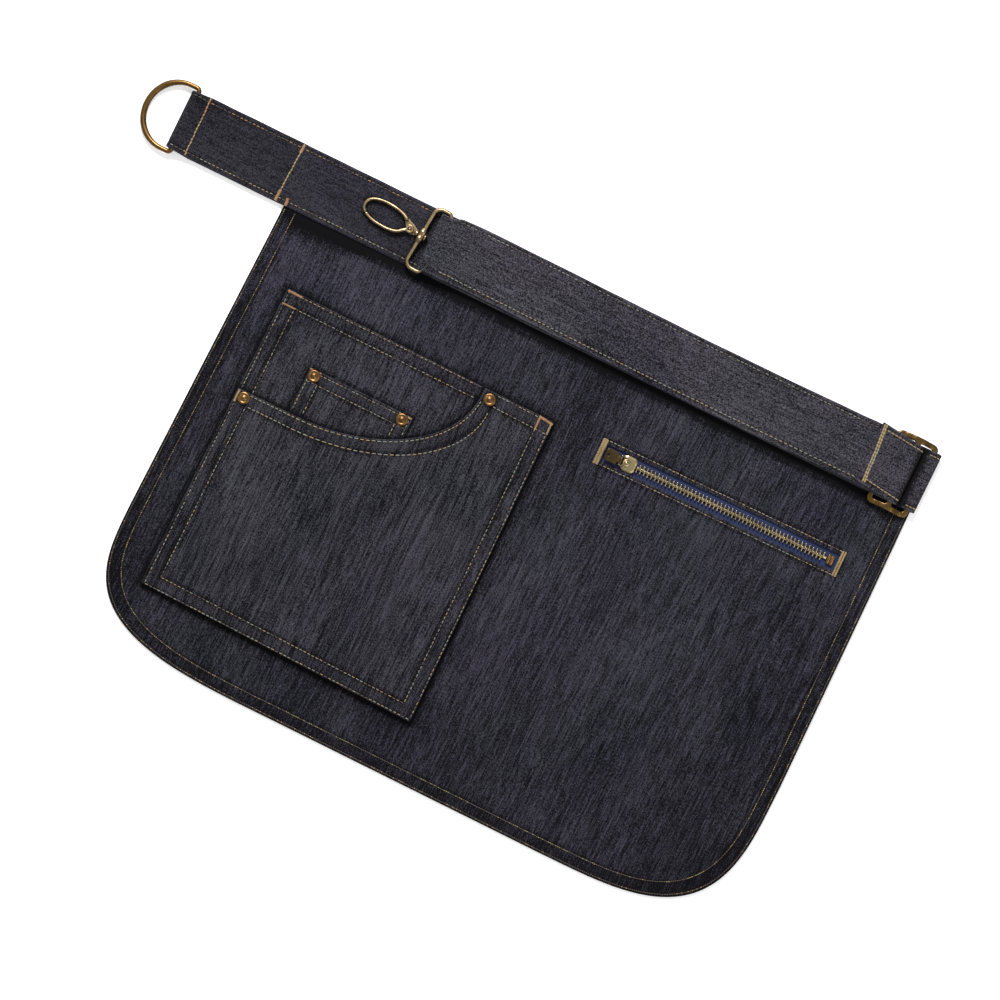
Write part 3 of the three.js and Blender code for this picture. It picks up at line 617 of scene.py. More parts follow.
skirt_denim = make_denim("skirt_denim", colour(5, 5, 8), colour(66, 66, 76))
pocket_denim = make_denim("pocket_denim", colour(5, 5, 8), colour(70, 70, 77))
band_denim = make_denim("band_denim", colour(4, 4, 6), colour(60, 59, 67), math.pi / 2, 0.5)
strap_denim = make_denim("strap_denim", colour(8, 8, 10), colour(88, 87, 95), math.pi / 2, 0.5)
brass = make_metal("ring_brass", colour(38, 26, 13), colour(134, 102, 58))
slider_brass = make_metal("slider_brass", colour(38, 27, 14), colour(122, 96, 56))
hook_brass = make_metal("hook_brass", colour(46, 34, 20), colour(188, 164, 126))
zip_brass = make_metal("zip_brass", colour(44, 36, 20), colour(214, 194, 148), 0.22, 0.4, 0.6)
dark_brass = make_metal("dark_brass", colour(30, 23, 14), colour(104, 86, 56))
copper = make_metal("rivet_copper", colour(40, 27, 16), colour(156, 119, 76), 0.28, 0.45, 0.8)
gold_thread = make_thread("gold_thread", colour(100, 82, 52), colour(178, 154, 106))
pale_thread = make_thread("pale_thread", colour(88, 87, 76), colour(156, 154, 136))
orange_thread = make_thread("orange_thread", colour(112, 72, 38), colour(190, 140, 86))
dim_thread = make_thread("dim_thread", colour(44, 36, 30), colour(104, 88, 68))
blue_tape = make_tape_cloth("blue_tape", colour(6, 12, 36), colour(24, 46, 98), 0.8)
lining = make_tape_cloth("lining", colour(40, 40, 46), colour(84, 84, 92), 0.9)


def set_tone(piece, tones):
    attribute = piece.data.attributes.new("tone", "FLOAT", "POINT")
    attribute.data.foreach_set("value", tones)


class EdgeShade:
    """Painted shadow on a cloth next to the edge of what lies on it."""

    def __init__(self, line, closed=False):
        self.tree = find_near(even(line, 0.8, closed))

    def at(self, x, y, wide):
        return bump(self.tree.find((x, y, 0))[2], wide)


def photo(u, v):
    """A place measured on the flat front, in steps of 0.7 mm, as x and y."""
    return ((u + 5) * 0.7, -(v - 2.3) * 0.7)


class Surface:
    """Heights of a built mesh, read from above."""

    def __init__(self, points, faces):
        self.tree = BVHTree.FromPolygons([Vector(p) for p in points], faces)

    def height(self, x, y, default=0.0):
        hit = self.tree.ray_cast(Vector((x, y, 80)), Vector((0, 0, -1)))[0]
        return hit[2] if hit is not None else default


# Stitches

# Thickness of thread that the bow of a stitch is given for
THREAD = 0.42


def add_stitch(parts, a, b, surface, kind, thick):
    """One stitch from a to b that bows out of the cloth and dips in at its ends."""
    a = Vector((a[0], a[1]))
    b = Vector((b[0], b[1]))
    path = []
    for share, rise in ((0, -0.35), (0.12, 0.12), (0.5, 0.34), (0.88, 0.12), (1, -0.35)):
        x, y = a.lerp(b, share)
        z = surface.height(x, y, path[-1][2] if path else 0.0) + rise * thick / THREAD
        path.append((x, y, z))
    points, faces = tube(path, lambda t: thick * (0.75 + 0.3 * math.sin(math.pi * t)), sides=6)
    parts.add(points, faces, kind)


def stitch_row(parts, line, surface, pitch, kind, fill, thick, stray=0.12):
    """Stitches along a line; kind is one thread, or several to draw from."""
    marks = even(line, pitch, False)
    for a, b in zip(marks, marks[1:]):
        side = Vector((-(b - a)[1], (b - a)[0])).normalized() * rng.uniform(-stray, stray)
        share = fill * rng.uniform(0.92, 1.06)
        start = a.lerp(b, (1 - share) / 2) + side
        end = a.lerp(b, (1 + share) / 2) + side * rng.uniform(-0.4, 1)
        shade = kind[rng.randrange(len(kind))] if isinstance(kind, tuple) else kind
        add_stitch(parts, start, end, surface, shade, thick)


def bar_tack(parts, a, b, wide, surface, kind):
    """Dense short stitches across the line from a to b."""
    a = Vector(a)
    b = Vector(b)
    across = Vector((-(b - a)[1], (b - a)[0])).normalized() * wide / 2
    count = max(2, int((b - a).length / 0.62))
    for i in range(count + 1):
        p = a.lerp(b, i / count)
        lean = (b - a).normalized() * rng.uniform(-0.3, 0.3)
        start = p - across * rng.uniform(0.85, 1.05) - lean
        end = p + across * rng.uniform(0.85, 1.05) + lean
        add_stitch(parts, start, end, surface, kind, 0.36)


def line_of(*places, step=None):
    """A line through places on the photographed front, rounded where it bends."""
    points = [Vector(photo(*place)) for place in places]
    if step is None or len(points) < 3:
        return points
    out = []
    for i in range(len(points) - 1):
        p0 = points[max(i - 1, 0)]
        p1, p2 = points[i], points[i + 1]
        p3 = points[min(i + 2, len(points) - 1)]
        count = max(1, round((p2 - p1).length / step))
        for k in range(count):
            t = k / count
            out.append(0.5 * ((2 * p1) + (p2 - p0) * t + (2 * p0 - 5 * p1 + 4 * p2 - p3) * t * t
                              + (3 * p1 - p0 - 3 * p2 + p3) * t ** 3))
    out.append(points[-1])
    return out


# Camera, floor and lights

SENSOR = 36
CAMERA_HEIGHT = 1.65
FRAME_WIDTH = 0.70
PHOTO_TURN = math.radians(26.1)
camera_data = bpy.data.cameras.new("camera")
camera_data.sensor_width = SENSOR
camera_data.lens = SENSOR * CAMERA_HEIGHT / FRAME_WIDTH
camera = bpy.data.objects.new("camera", camera_data)
camera.location = (0.04084, 0.02092, CAMERA_HEIGHT)
camera.rotation_euler = (0, 0, PHOTO_TURN)
bpy.context.scene.collection.objects.link(camera)
bpy.context.scene.camera = camera


def add_light(name, place, size, power):
    data = bpy.data.lights.new(name, "AREA")
    data.shape = "DISK"
    data.size = size
    data.energy = power
    light = bpy.data.objects.new(name, data)
    light.location = place
    light.rotation_euler = (-Vector(place)).to_track_quat("-Z", "Y").to_euler()
    bpy.context.scene.collection.objects.link(light)


add_light("key", (-0.7, 1.5, 1.5), 0.7, 62)
add_light("fill", (1.5, -0.5, 1.8), 1.6, 12)
world = bpy.data.worlds.new("studio")
world.use_nodes = True
background = world.node_tree.nodes["Background"]
background.inputs["Color"].default_value = (1, 1, 1, 1)
background.inputs["Strength"].default_value = 0.42
bpy.context.scene.world = world
bpy.context.scene.view_settings.view_transform = "Standard"

floor_material, floor_tree, floor_shader, floor_place, _ = new_material("floor", Roughness=0.95)
floor_grain = grain(floor_tree, floor_place, (300, 300, 300))
floor_share = between(floor_tree, floor_grain, 0.2, 0.8)
floor_colour = blend_colours(floor_tree, floor_share, (0.9, 0.9, 0.9, 1), (0.93, 0.93, 0.93, 1))
floor_tree.links.new(floor_colour, floor_shader.inputs["Base Color"])
floor_tree.links.new(floor_colour, floor_shader.inputs["Emission Color"])
floor_shader.inputs["Emission Strength"].default_value = 0.45
bpy.ops.mesh.primitive_plane_add(size=8, location=(0, 0, -0.0002))
floor = bpy.context.object
floor.name = "floor"
floor.data.materials.append(floor_material)


# Skirt

def corner_points(edge_x, base_y, across, down, fullness):
    """A rounded lower corner of the skirt, from its side down to its hem. across is negative on the right."""
    points = []
    for i in range(41):
        angle = math.pi / 2 * i / 40
        c = math.cos(angle) ** (2 / fullness)
        s = math.sin(angle) ** (2 / fullness)
        points.append((edge_x + across - across * c, base_y + down - down * s))
    return points


def skirt_outline(inset=0.0):
    """The skirt's free edge from the top of its left side round to the top of its right side."""
    left = SKIRT_LEFT - LEFT_FLARE + inset
    right = SKIRT_RIGHT + RIGHT_FLARE - inset
    bottom = SKIRT_BOTTOM + inset
    across, down, fullness = LEFT_CORNER
    free = corner_points(left, bottom + HEM_FALL, across - inset, down - inset, fullness)
    across, down, fullness = RIGHT_CORNER
    free += corner_points(right, bottom, inset - across, down - inset, fullness)[::-1]
    return [(SKIRT_LEFT + inset, SKIRT_TOP)] + free + [(SKIRT_RIGHT - inset, SKIRT_TOP)]


def zip_point(x, y):
    """A place given from the left middle of the zip's window, along and across it."""
    c = math.cos(math.radians(ZIP_TURN))
    s = math.sin(math.radians(ZIP_TURN))
    return ZIP_LEFT + x * c - y * s, -ZIP_MIDDLE + x * s + y * c


def zip_rectangle(x0, x1, y0, y1):
    """A rectangle along the zip, which lies a little askew."""
    return [zip_point(x0, y0), zip_point(x1, y0), zip_point(x1, y1), zip_point(x0, y1)]


def at_window(x, y):
    """True near the zip's window, where the skirt's edge is the window's."""
    return ZIP_LEFT - 12 < x < ZIP_LEFT + ZIP_LENGTH + 12 and abs(y + ZIP_MIDDLE) < 20


def hem_relief(x, y, d, s):
    if at_window(x, y):
        return 0.12 * bump(d - 1.2, 1.0) - 0.2 * bump(d - 2.8, 0.5)
    if y > SKIRT_TOP - 3:
        return 0.0
    rope = 0.13 * math.sin(2 * math.pi * (s / 5.2 + d / 9)) * bump(d - 5.6, 2.6)
    pull = 0.07 * math.sin(2 * math.pi * s / 3.3) * bump(d - 9.6, 1.3)
    rows = -0.2 * bump(d - 1.7, 0.5) - 0.32 * bump(d - 9.9, 0.7)
    return 0.16 + rows + rope + pull - 0.3 * smooth((d - 9.2) / 2.5)


def skirt_top(x, y, d, s):
    beside = smooth((x - 330) / 25) + smooth((118 - x) / 12)
    above_or_below = smooth((-y - 330) / 20) + smooth((y + 94) / 12)
    ripple = 0.55 * wander(x, y * 0.6, 34, 1) + 0.22 * wander(x, y * 0.5, 11, 2)
    ripple *= min(1.0, beside + above_or_below) * smooth(d / 14) * 0.8
    z = FRONT + skirt_lift(x, y) + hem_relief(x, y, d, s) + ripple
    low = skirt_bottom(x, y, d, s)
    middle = (z + low) / 2
    return middle + (z - middle) * rounded(d, 0.9)


def skirt_bottom(x, y, d, s):
    inner = CLOTH if at_window(x, y) or y > SKIRT_TOP - 4 else CLOTH * smooth((d - HEM + 1) / 2)
    return max(0.0, inner + skirt_lift(x, y))


RINGS = (0.15, 0.45, 0.9, 1.7, 2.6, 4.2, 6.0, 7.8, 9.0, 9.9, 10.9, 12.4)
outline = [(SKIRT_LEFT, SKIRT_TOP + TUCK)] + skirt_outline() + [(SKIRT_RIGHT, SKIRT_TOP + TUCK)]
window = zip_rectangle(0, ZIP_LENGTH, -ZIP_WINDOW / 2, ZIP_WINDOW / 2)
points, faces, marks = sheet_mesh(outline, [window], skirt_top, skirt_bottom, 3.0, RINGS, 2.0)
skirt = make_piece("skirt_cloth", points, faces, "apron", [skirt_denim])
skirt_surface = Surface(points, faces)


def pocket_corners():
    """The pocket's corners, from its top left down and round to its top right."""
    lean = (POCKET_BOTTOM_WIDTH - POCKET_TOP_WIDTH) / 2
    x, y = POCKET_LEFT, -POCKET_TOP
    bottom = y - POCKET_HEIGHT
    right = x + POCKET_TOP_WIDTH
    lower_right = (right + lean, bottom - POCKET_BOTTOM_FALL)
    return (x, y), (x - lean, bottom), lower_right, (right, y - POCKET_TOP_FALL)


top_left, bottom_left, bottom_right, top_right = pocket_corners()
# Painted shadow on the skirt along the pocket's edges
pocket_shade = EdgeShade([
    (top_left[0], top_left[1] + 0.3), (bottom_left[0] - 0.3, bottom_left[1]),
    (bottom_right[0] + 0.6, bottom_right[1] - 0.6), (top_right[0] + 0.6, top_right[1])], True)


def skirt_tone(point, mark):
    x, y, _ = point
    d, s = mark
    if at_window(x, y):
        # Beside the zip's window: a lighter worn edge, and painted shade in the stitch groove and just past
        # it.
        return 0.1 * bump(d - 0.4, 0.5) - 0.3 * bump(d - 2.9, 0.9) - 0.25 * bump(d - 4.6, 0.6)
    if y > SKIRT_TOP - 3:
        d = 20.0
    worn = 0.35 * bump(d - 0.3, 0.5) * (0.6 + 0.6 * wander(s, 0, 6, 3))
    # The hem is a darker band, with painted shade in its outer stitch groove and a painted shadow line just
    # past its inner step.
    hem = -0.2 * (1 - smooth((d - 9) / 2)) - 0.3 * bump(d - 10.6, 0.9) - 0.2 * bump(d - 1.9, 0.8)
    side = -0.12 * smooth((112 - x) / 14) - 0.1 * smooth((x - 470) / 90) * smooth((-y - 80) / 80)
    # Painted shade along the fold that runs down from the waistband.
    painted_fold_shade = -0.2 * bump((x - 348 + 0.06 * (y + 120)) / 9, 1.0) * bump((y + 90) / 46, 1.0)
    # Painted shadow on the skirt just below the waistband's lower edge, wider towards the left.
    low_shade = smooth((x - 96) / 10) * smooth((176 - x) / 60)
    painted_shadow_below_band = -1.1 * bump(min(0.0, y - SKIRT_TOP + 1) / (2.6 + 5.5 * low_shade), 1.0)
    broad = 0.1 * smooth((-y - 40) / 30) * smooth((150 + y) / 60) * smooth((260 - x) / 60)
    low = -0.1 * smooth((-y - 230) / 100)
    # Painted shadow on the skirt along the pocket's edges.
    painted_shadow_beside_pocket = -0.55 * pocket_shade.at(x, y, 1.5) - 0.16 * pocket_shade.at(x, y, 5.0)
    return worn + hem + side + painted_fold_shade + painted_shadow_below_band + broad + low + painted_shadow_beside_pocket


set_tone(skirt, [skirt_tone(p, m) for p, m in zip(points, marks)])
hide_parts("skirt")


# Pockets

def seam_relief(d, s, near_row, far_row, puff=0.1):
    """Raised double hem of a pocket between two sunk rows of stitches."""
    rows = -0.2 * bump(d - near_row, 0.45) - 0.26 * bump(d - far_row, 0.6)
    rope = puff * math.sin(2 * math.pi * (s / 4.6 + d / 10)) * bump(d - (near_row + far_row) / 2, 2.4)
    return 0.16 + rows + rope - 0.26 * smooth((d - far_row + 0.4) / 2.2)


def cloth_piece(name, edge, base, relief, spacing=2.6, floor_at=None, shades=()):
    """A cloth sewn on the skirt: it follows the skirt's rise and lies at its own height."""
    def top(x, y, d, s):
        high = base + CLOTH + skirt_lift(x, y) + relief(x, y, d, s)
        low = bottom(x, y, d, s)
        middle = (high + low) / 2
        return middle + (high - middle) * rounded(d, 0.7)

    def bottom(x, y, d, s):
        drop = 0.0 if floor_at is None else floor_at(d)
        return base + skirt_lift(x, y) - drop

    rings = (0.12, 0.35, 0.7, 1.3, 1.9, 3.0, 4.6, 6.2, 7.6, 8.4, 9.3, 10.4)
    made_points, made_faces, made_marks = sheet_mesh(edge, [], top, bottom, spacing, rings, 1.6)
    piece = make_piece(name, made_points, made_faces, "apron", [pocket_denim])
    tones = []
    for (x, y, _), (d, s) in zip(made_points, made_marks):
        worn = 0.3 * bump(d - 0.2, 0.5) * (0.7 + 0.6 * wander(s, 3, 5, 4))
        # Painted shade in the stitch grooves and a painted shadow line just past the hem's inner step.
        seam = -0.26 * bump(d - 9.4, 0.9) - 0.22 * bump(d - 1.4, 0.7) - 0.3 * bump(d - 10.9, 0.7)
        hem = -0.07 * (1 - smooth((d - 9) / 2))
        # Painted shadow from the edges of the cloth that lies on this one.
        painted_edge_shadow = sum(-0.6 * shade.at(x, y, 1.2) - 0.15 * shade.at(x, y, 4.0) for shade in shades)
        tones.append(worn + seam + hem + painted_edge_shadow)
    set_tone(piece, tones)
    return piece, Surface(made_points, made_faces)


def scoop_line(inset=0.0):
    """The pocket front's scooped mouth, from its top right to the left side."""
    flat_end = POCKET_LEFT + SCOOP_FLAT
    low = -POCKET_TOP - SCOOP_DROP
    reach = SCOOP_ACROSS + inset
    points = [(flat_end + SCOOP_ACROSS + inset, -POCKET_TOP - POCKET_TOP_FALL * 0.8)]
    for i in range(41):
        angle = math.pi / 2 * i / 40
        rise = SCOOP_RISE * (1 - math.sin(angle))
        points.append((flat_end + reach * math.cos(angle), low - inset + rise))
    points.append((top_left[0] - 0.4, low - inset))
    return points


coin_x = POCKET_LEFT + COIN_LEFT
coin_y = -POCKET_TOP - COIN_TOP
coin_edge = [
    (coin_x, coin_y), (coin_x, coin_y - COIN_HEIGHT),
    (coin_x + COIN_WIDTH, coin_y - COIN_HEIGHT), (coin_x + COIN_WIDTH, coin_y - 0.4),
]
# Painted shadow on the cloth under the scoop's edge and along the coin pocket's edges
scoop_shade = EdgeShade(scoop_line())
coin_shade = EdgeShade(coin_edge, True)


def back_relief(x, y, d, s):
    return seam_relief(d, s, 1.3, 9.8, 0.05) * 0.4 - 0.05


pocket_edge = [top_left, bottom_left, bottom_right, top_right]
pocket_back, back_surface = cloth_piece(
    "pocket_back_cloth", pocket_edge, POCKET_BASE, back_relief, shades=(scoop_shade, coin_shade))
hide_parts("pocket_back")


def coin_relief(x, y, d, s):
    return seam_relief(d, s, 1.4, 9.0, 0.08) * 0.7 + 0.1 * wander(x, y, 14, 6) * smooth(d / 8)


coin, coin_surface = cloth_piece(
    "coin_pocket_cloth", coin_edge, COIN_BASE, coin_relief, 2.2, shades=(scoop_shade,))
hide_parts("coin_pocket")


front_edge = [bottom_left, bottom_right, top_right] + scoop_line()


def front_relief(x, y, d, s):
    wave = 0.5 * wander(x, y * 0.7, 42, 7) + 0.16 * wander(x, y * 0.6, 13, 8)
    return seam_relief(d, s, 1.4, 9.3) + wave * smooth((d - 9) / 16)


pocket_front, front_surface = cloth_piece(
    "pocket_front_cloth", front_edge, FRONT_BASE, front_relief,
    floor_at=lambda d: (FRONT_BASE - COIN_BASE) * (1 - smooth((d - 7.5) / 2)))
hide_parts("pocket_front")


# Strips of cloth: the waistband and the strap

def bend(x, z, rx, rz, start, end, steps, width, shift):
    """Stations along an arc of an ellipse, between two angles in degrees."""
    stations = []
    for i in range(steps + 1):
        angle = math.radians(start + (end - start) * i / steps)
        stations.append((x + rx * math.cos(angle), z + rz * math.sin(angle), width, shift))
    return stations


def fine(stations, step=1.25, passes=3):
    """More stations along a path, with its corners eased."""
    out = []
    for a, b in zip(stations, stations[1:]):
        count = max(1, math.ceil(math.hypot(b[0] - a[0], b[1] - a[1]) / step))
        for i in range(count):
            t = i / count
            out.append(tuple(p + (q - p) * t for p, q in zip(a, b)))
    out.append(stations[-1])
    for _ in range(passes):
        eased = [out[0]]
        for a, b, c in zip(out, out[1:], out[2:]):
            eased.append(tuple((p + 2 * q + r) / 4 for p, q, r in zip(a, b, c)))
        out = eased + [out[-1]]
    return out


ACROSS = (0.0, 0.15, 0.45, 0.9, 1.5, 2.3, 2.9, 3.3, 3.8, 4.5, 6.0, 8.5, 11.5, 15.0, 19.0)


def strip(stations, thickness, row, seed, edge=0.8, pucker=0.1, soft=0.15):
    """Cloth strip along (x, z, width, shift) stations, with a sunk stitch row near each edge."""
    sections = []
    tones = []
    travelled = 0.0
    for i, (x, z, width, shift) in enumerate(stations):
        before = stations[max(i - 1, 0)]
        after = stations[min(i + 1, len(stations) - 1)]
        if i:
            travelled += math.hypot(x - before[0], z - before[1])
        along = Vector((after[0] - before[0], after[1] - before[1])).normalized()
        nx, nz = -along[1], along[0]
        high_y = BAND_MIDDLE + shift + width / 2 + 0.25 * wander(travelled, 5, 26, seed)
        low_y = BAND_MIDDLE + shift - width / 2 + 0.25 * wander(travelled, 45, 26, seed + 1)
        spread = [(high_y - d, d, 1) for d in ACROSS] + [(low_y + d, d, -1) for d in reversed(ACROSS)]
        ring = []
        shades = []
        for face in (1, -1):
            order = spread if face > 0 else spread[::-1][1:-1]
            for y, d, side in order:
                half = thickness / 2 * rounded(d, edge)
                groove = -0.16 * bump(d - row, 0.5)
                rope = pucker * math.sin(2 * math.pi * travelled / 5.0 + d) * bump(d - row, 1.8)
                wave = soft * wander(travelled, y * 1.6, 24, seed + 2) * smooth(d / 8)
                lift = half + (groove + rope) * min(1.0, d / 1.2) + wave * smooth(face * nz)
                ring.append(Vector((x + face * nx * lift, y, z + face * nz * lift)))
                # Lighter worn edges, and painted shade in the sunk stitch row.
                worn = 0.32 * bump(d - 0.2, 0.5) * (0.7 + 0.6 * wander(travelled, side * 9, 6, seed))
                shades.append(worn - 0.14 * bump(d - row, 1.0))
        sections.append(ring)
        tones.extend(shades)
    made_points, made_faces = loft(sections)
    return made_points, made_faces, tones, travelled


RING_BAR_X = TAB_LAYER + GAP + RING_WIRE / 2
TAB_TOP = BAND_THICKNESS - TAB_LAYER / 2
TAB_TAIL = TAB_LAYER / 2
TAB_RISE = (RING_WIRE + 2 * GAP + TAB_LAYER) / 2
RING_BAR_Z = TAB_TAIL + TAB_RISE
TAB_NECK = RING_HEIGHT - 2 * RING_WIRE - 0.9
tab_path = [
    (TAB_LAP + 3, TAB_TOP, BAND_WIDTH, 0), (26, TAB_TOP, BAND_WIDTH, 0), (16, TAB_TOP + 0.7, BAND_WIDTH, 0),
    (11, TAB_TOP + 2.1, TAB_NECK + 0.8, 0),
]
tab_path += bend(RING_BAR_X, RING_BAR_Z, RING_BAR_X - TAB_LAYER / 2, TAB_RISE, 90, 270, 18, TAB_NECK, 0)
tab_path += [
    (11, TAB_TAIL, TAB_NECK + 0.8, 0), (17, TAB_TAIL, BAND_WIDTH, 0), (TAB_LAP + 3, TAB_TAIL, BAND_WIDTH, 0),
]
tab_points, tab_faces, tab_tones, tab_run = strip(fine(tab_path), TAB_LAYER, 3.6, 20)
band_path = fine([(x, BAND_THICKNESS / 2, BAND_WIDTH, 0) for x in (BAND_LENGTH - 0.2, TAB_LAP)])
band_points, band_faces, band_tones, _ = strip(band_path, BAND_THICKNESS - 0.1, 3.6, 24, edge=1.1, soft=0.2)
whole_band = Parts()
whole_band.add(tab_points, tab_faces)
whole_band.add(band_points, band_faces)
band = whole_band.piece("waistband_cloth", "apron", [band_denim])
band_shades = tab_tones + band_tones
band_shades = [t + (0.08 if p[0] > TAB_LAP else -0.07) for p, t in zip(whole_band.points, band_shades)]
set_tone(band, band_shades)
band_surface = Surface(whole_band.points, whole_band.faces)
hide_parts("waistband")

LOOP_RISE = (LOOP_WIRE + 2 * GAP + STRAP_THICKNESS) / 2
LOOP_BAR_Z = strap_level(1) + LOOP_RISE
LOOP_BAR_X = 194.6 + STRAP_THICKNESS / 2 + 4.4
TUCK_Z = BAND_THICKNESS / 2
FOLD_RISE = (strap_level(2) - TUCK_Z) / 2
LAP_END = SLIDER_X - 28.3
LAP_RIGHT = SLIDER_X + SLIDER_BAR / 2 - 0.8


def station(x, z, shift=0.0, width=STRAP_WIDTH):
    return (x, z, width, shift)


bar_edge = BAR_X - SLIDER_BAR / 2 - 1
strap_path = [station(BAND_LENGTH - STRAP_TUCK, TUCK_Z), station(BAND_LENGTH - 0.6, TUCK_Z)]
strap_path += bend(BAND_LENGTH, TUCK_Z + FOLD_RISE, 2.2, FOLD_RISE, -90, 90, 14, STRAP_WIDTH, 0)
strap_path += [
    station(SLIDER_X + bar_edge, strap_level(2)),
    station(SLIDER_X + 5.5, strap_level(1)),
    station(SLIDER_X - 5.5, strap_level(1)),
    station(SLIDER_X - bar_edge, strap_level(2)),
    station(SLIDER_X - 20, strap_level(2), 0.3),
    station(SLIDER_X - 31, strap_level(1), 0.4),
    station(SLIDER_X - 120, strap_level(1)),
    station(LOOP_BAR_X + 60, strap_level(1)),
    station(LOOP_BAR_X + 12, strap_level(1), NECK_SHIFT, STRAP_WIDTH - 1),
    station(LOOP_BAR_X + 5, strap_level(1), NECK_SHIFT, STRAP_NECK),
]
strap_path += bend(LOOP_BAR_X, LOOP_BAR_Z, 4.4, LOOP_RISE, 270, 90, 18, STRAP_NECK, NECK_SHIFT)
strap_path += [
    station(LOOP_BAR_X + 5, strap_level(1) + 2 * LOOP_RISE - 0.3, NECK_SHIFT, STRAP_NECK),
    station(LOOP_BAR_X + 9, strap_level(2) + 2.3, 0.6, STRAP_WIDTH),
    station(LOOP_BAR_X + 24, strap_level(2) + 0.5, 1.4),
    station(LOOP_BAR_X + 38, strap_level(2), 1.6),
    station(LOOP_BAR_X + 110, strap_level(2), 1.0),
    station(LOOP_BAR_X + 200, strap_level(2), 0.1),
    station(LOOP_BAR_X + 270, strap_level(2), 0.4),
    station(SLIDER_X - 42, strap_level(2), 1.0),
    station(SLIDER_X - 31.5, strap_level(3), 1.3),
    station(SLIDER_X - bar_edge, strap_level(3), 0.6),
    station(SLIDER_X - 5.5, strap_level(2), -0.2),
]
strap_path += bend(LAP_RIGHT, strap_level(3), 3.6, LEVEL_STEP, -90, 90, 14, STRAP_WIDTH, -0.6)
strap_path += [station(SLIDER_X - 12, strap_level(4), 1.0), station(LAP_END, strap_level(4), 2.8)]
strap_points, strap_faces, strap_tones, strap_run = strip(
    fine(strap_path, 1.3, 2), STRAP_THICKNESS, 2.9, 30, soft=0.12, pucker=0.07)
strap = make_piece("strap_cloth", strap_points, strap_faces, "apron", [strap_denim])
# The strap's tone is a little darker all over, with a painted shadow in the slot between the lap's fold and
# the slider.
SLOT_X = 569.6
strap_tones = [t - 0.06 - 0.8 * bump((p[0] - SLOT_X) / 2.3, 1.0) for p, t in zip(strap_points, strap_tones)]
set_tone(strap, strap_tones)
strap_surface = Surface(strap_points, strap_faces)
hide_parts("strap")


# Seams of the skirt, the pockets, the waistband and the strap

GOLD, PALE, ORANGE, DIM = 0, 1, 2, 3
THREADS = [gold_thread, pale_thread, orange_thread, dim_thread]


def seams(name, parts):
    """All the stitches of one cloth as one piece."""
    piece = parts.piece(name, "apron", THREADS)


def hem_line(inset):
    """The line of a hem's stitches, from side to side round the bottom."""
    return [p for p in even(skirt_outline(inset), 1.5, False) if p[1] < SKIRT_TOP - 0.5]


skirt_seams = Parts()
stitch_row(skirt_seams, hem_line(1.9), skirt_surface, 3.1, (DIM, DIM, DIM, GOLD), 0.66, 0.28)
stitch_row(skirt_seams, hem_line(9.8), skirt_surface, 3.2, (DIM, DIM, GOLD), 0.66, 0.3)
for y in (-ZIP_WINDOW / 2 - 2.8, ZIP_WINDOW / 2 + 2.8):
    row = [zip_point(-0.5, y), zip_point(ZIP_LENGTH + 1, y)]
    stitch_row(skirt_seams, row, skirt_surface, 3.0, (DIM, PALE, GOLD), 0.7, 0.32)
for x in (-4.0, -2.0):
    bar_tack(skirt_seams, zip_point(x, -9.4), zip_point(x, 9.0), 2.0, skirt_surface, GOLD)
for x in (ZIP_LENGTH + 1.2, ZIP_LENGTH + 3.0):
    bar_tack(skirt_seams, zip_point(x, -9.0), zip_point(x, 9.2), 1.3, skirt_surface, GOLD)
bar_tack(skirt_seams, photo(127.4, 59.5), photo(128.3, 66.4), 2.0, band_surface, ORANGE)
seams("skirt_seams", skirt_seams)

pocket_seams = Parts()
back_rows = [
    line_of((168, 142), (384, 143.4)), line_of((168, 155), (382, 156)),
    line_of((169.5, 140), (169, 250)), line_of((181.6, 157), (181.3, 250)),
]
front_rows = [
    line_of((402, 144.2), (462, 145.5)), line_of((402, 156), (462, 157.6)),
    line_of((169, 252), (168.4, 380), (168, 466)), line_of((181.3, 266), (180.8, 360), (180.2, 455)),
    line_of((462, 145), (464, 300), (465, 471)), line_of((449.8, 147), (451.4, 300), (452.8, 459.6)),
    line_of((168, 466.4), (464.6, 472.7)), line_of((180.2, 454), (453, 460.4)),
]
for rows, surface in ((back_rows, back_surface), (front_rows, front_surface)):
    for row in rows:
        stitch_row(pocket_seams, row, surface, 3.2, (GOLD, DIM, PALE), 0.66, 0.31)
for inset, start in ((1.5, 2), (9.4, 1)):
    curve = [p for p in scoop_line(inset)[start:-1] if p[0] > top_left[0] + 6]
    curve.append((top_left[0] + 9 + inset / 4, curve[-1][1]))
    stitch_row(pocket_seams, curve, front_surface, 3.2, (GOLD, PALE, PALE), 0.68, 0.34)
bar_tack(pocket_seams, photo(168.5, 141.4), photo(183, 141.8), 1.6, back_surface, ORANGE)
bar_tack(pocket_seams, photo(168.6, 155), photo(182, 155.2), 1.0, back_surface, ORANGE)
bar_tack(pocket_seams, photo(449, 144.2), photo(463.5, 146), 1.7, front_surface, ORANGE)
bar_tack(pocket_seams, photo(449.6, 146), photo(449.9, 157), 1.2, front_surface, ORANGE)
bar_tack(pocket_seams, photo(462.4, 147), photo(462.8, 157), 1.0, front_surface, GOLD)
bar_tack(pocket_seams, photo(168.6, 252), photo(168.4, 264), 1.4, front_surface, GOLD)
seams("pocket_seams", pocket_seams)

coin_seams = Parts()
coin_rows = [
    line_of((224, 203.7), (332, 204.2)), line_of((224, 214), (333, 214.4)),
    line_of((224, 203), (224, 246)), line_of((235.5, 214), (235.3, 246)),
    line_of((322, 214), (322, 228)), line_of((333.5, 205), (333.5, 222)),
]
for row in coin_rows:
    stitch_row(coin_seams, row, coin_surface, 3.1, (GOLD, DIM, PALE), 0.66, 0.3)
bar_tack(coin_seams, photo(222.8, 201.8), photo(234, 202.2), 1.2, coin_surface, ORANGE)
bar_tack(coin_seams, photo(322, 202.4), photo(334.5, 202.8), 1.2, coin_surface, GOLD)
seams("coin_seams", coin_seams)

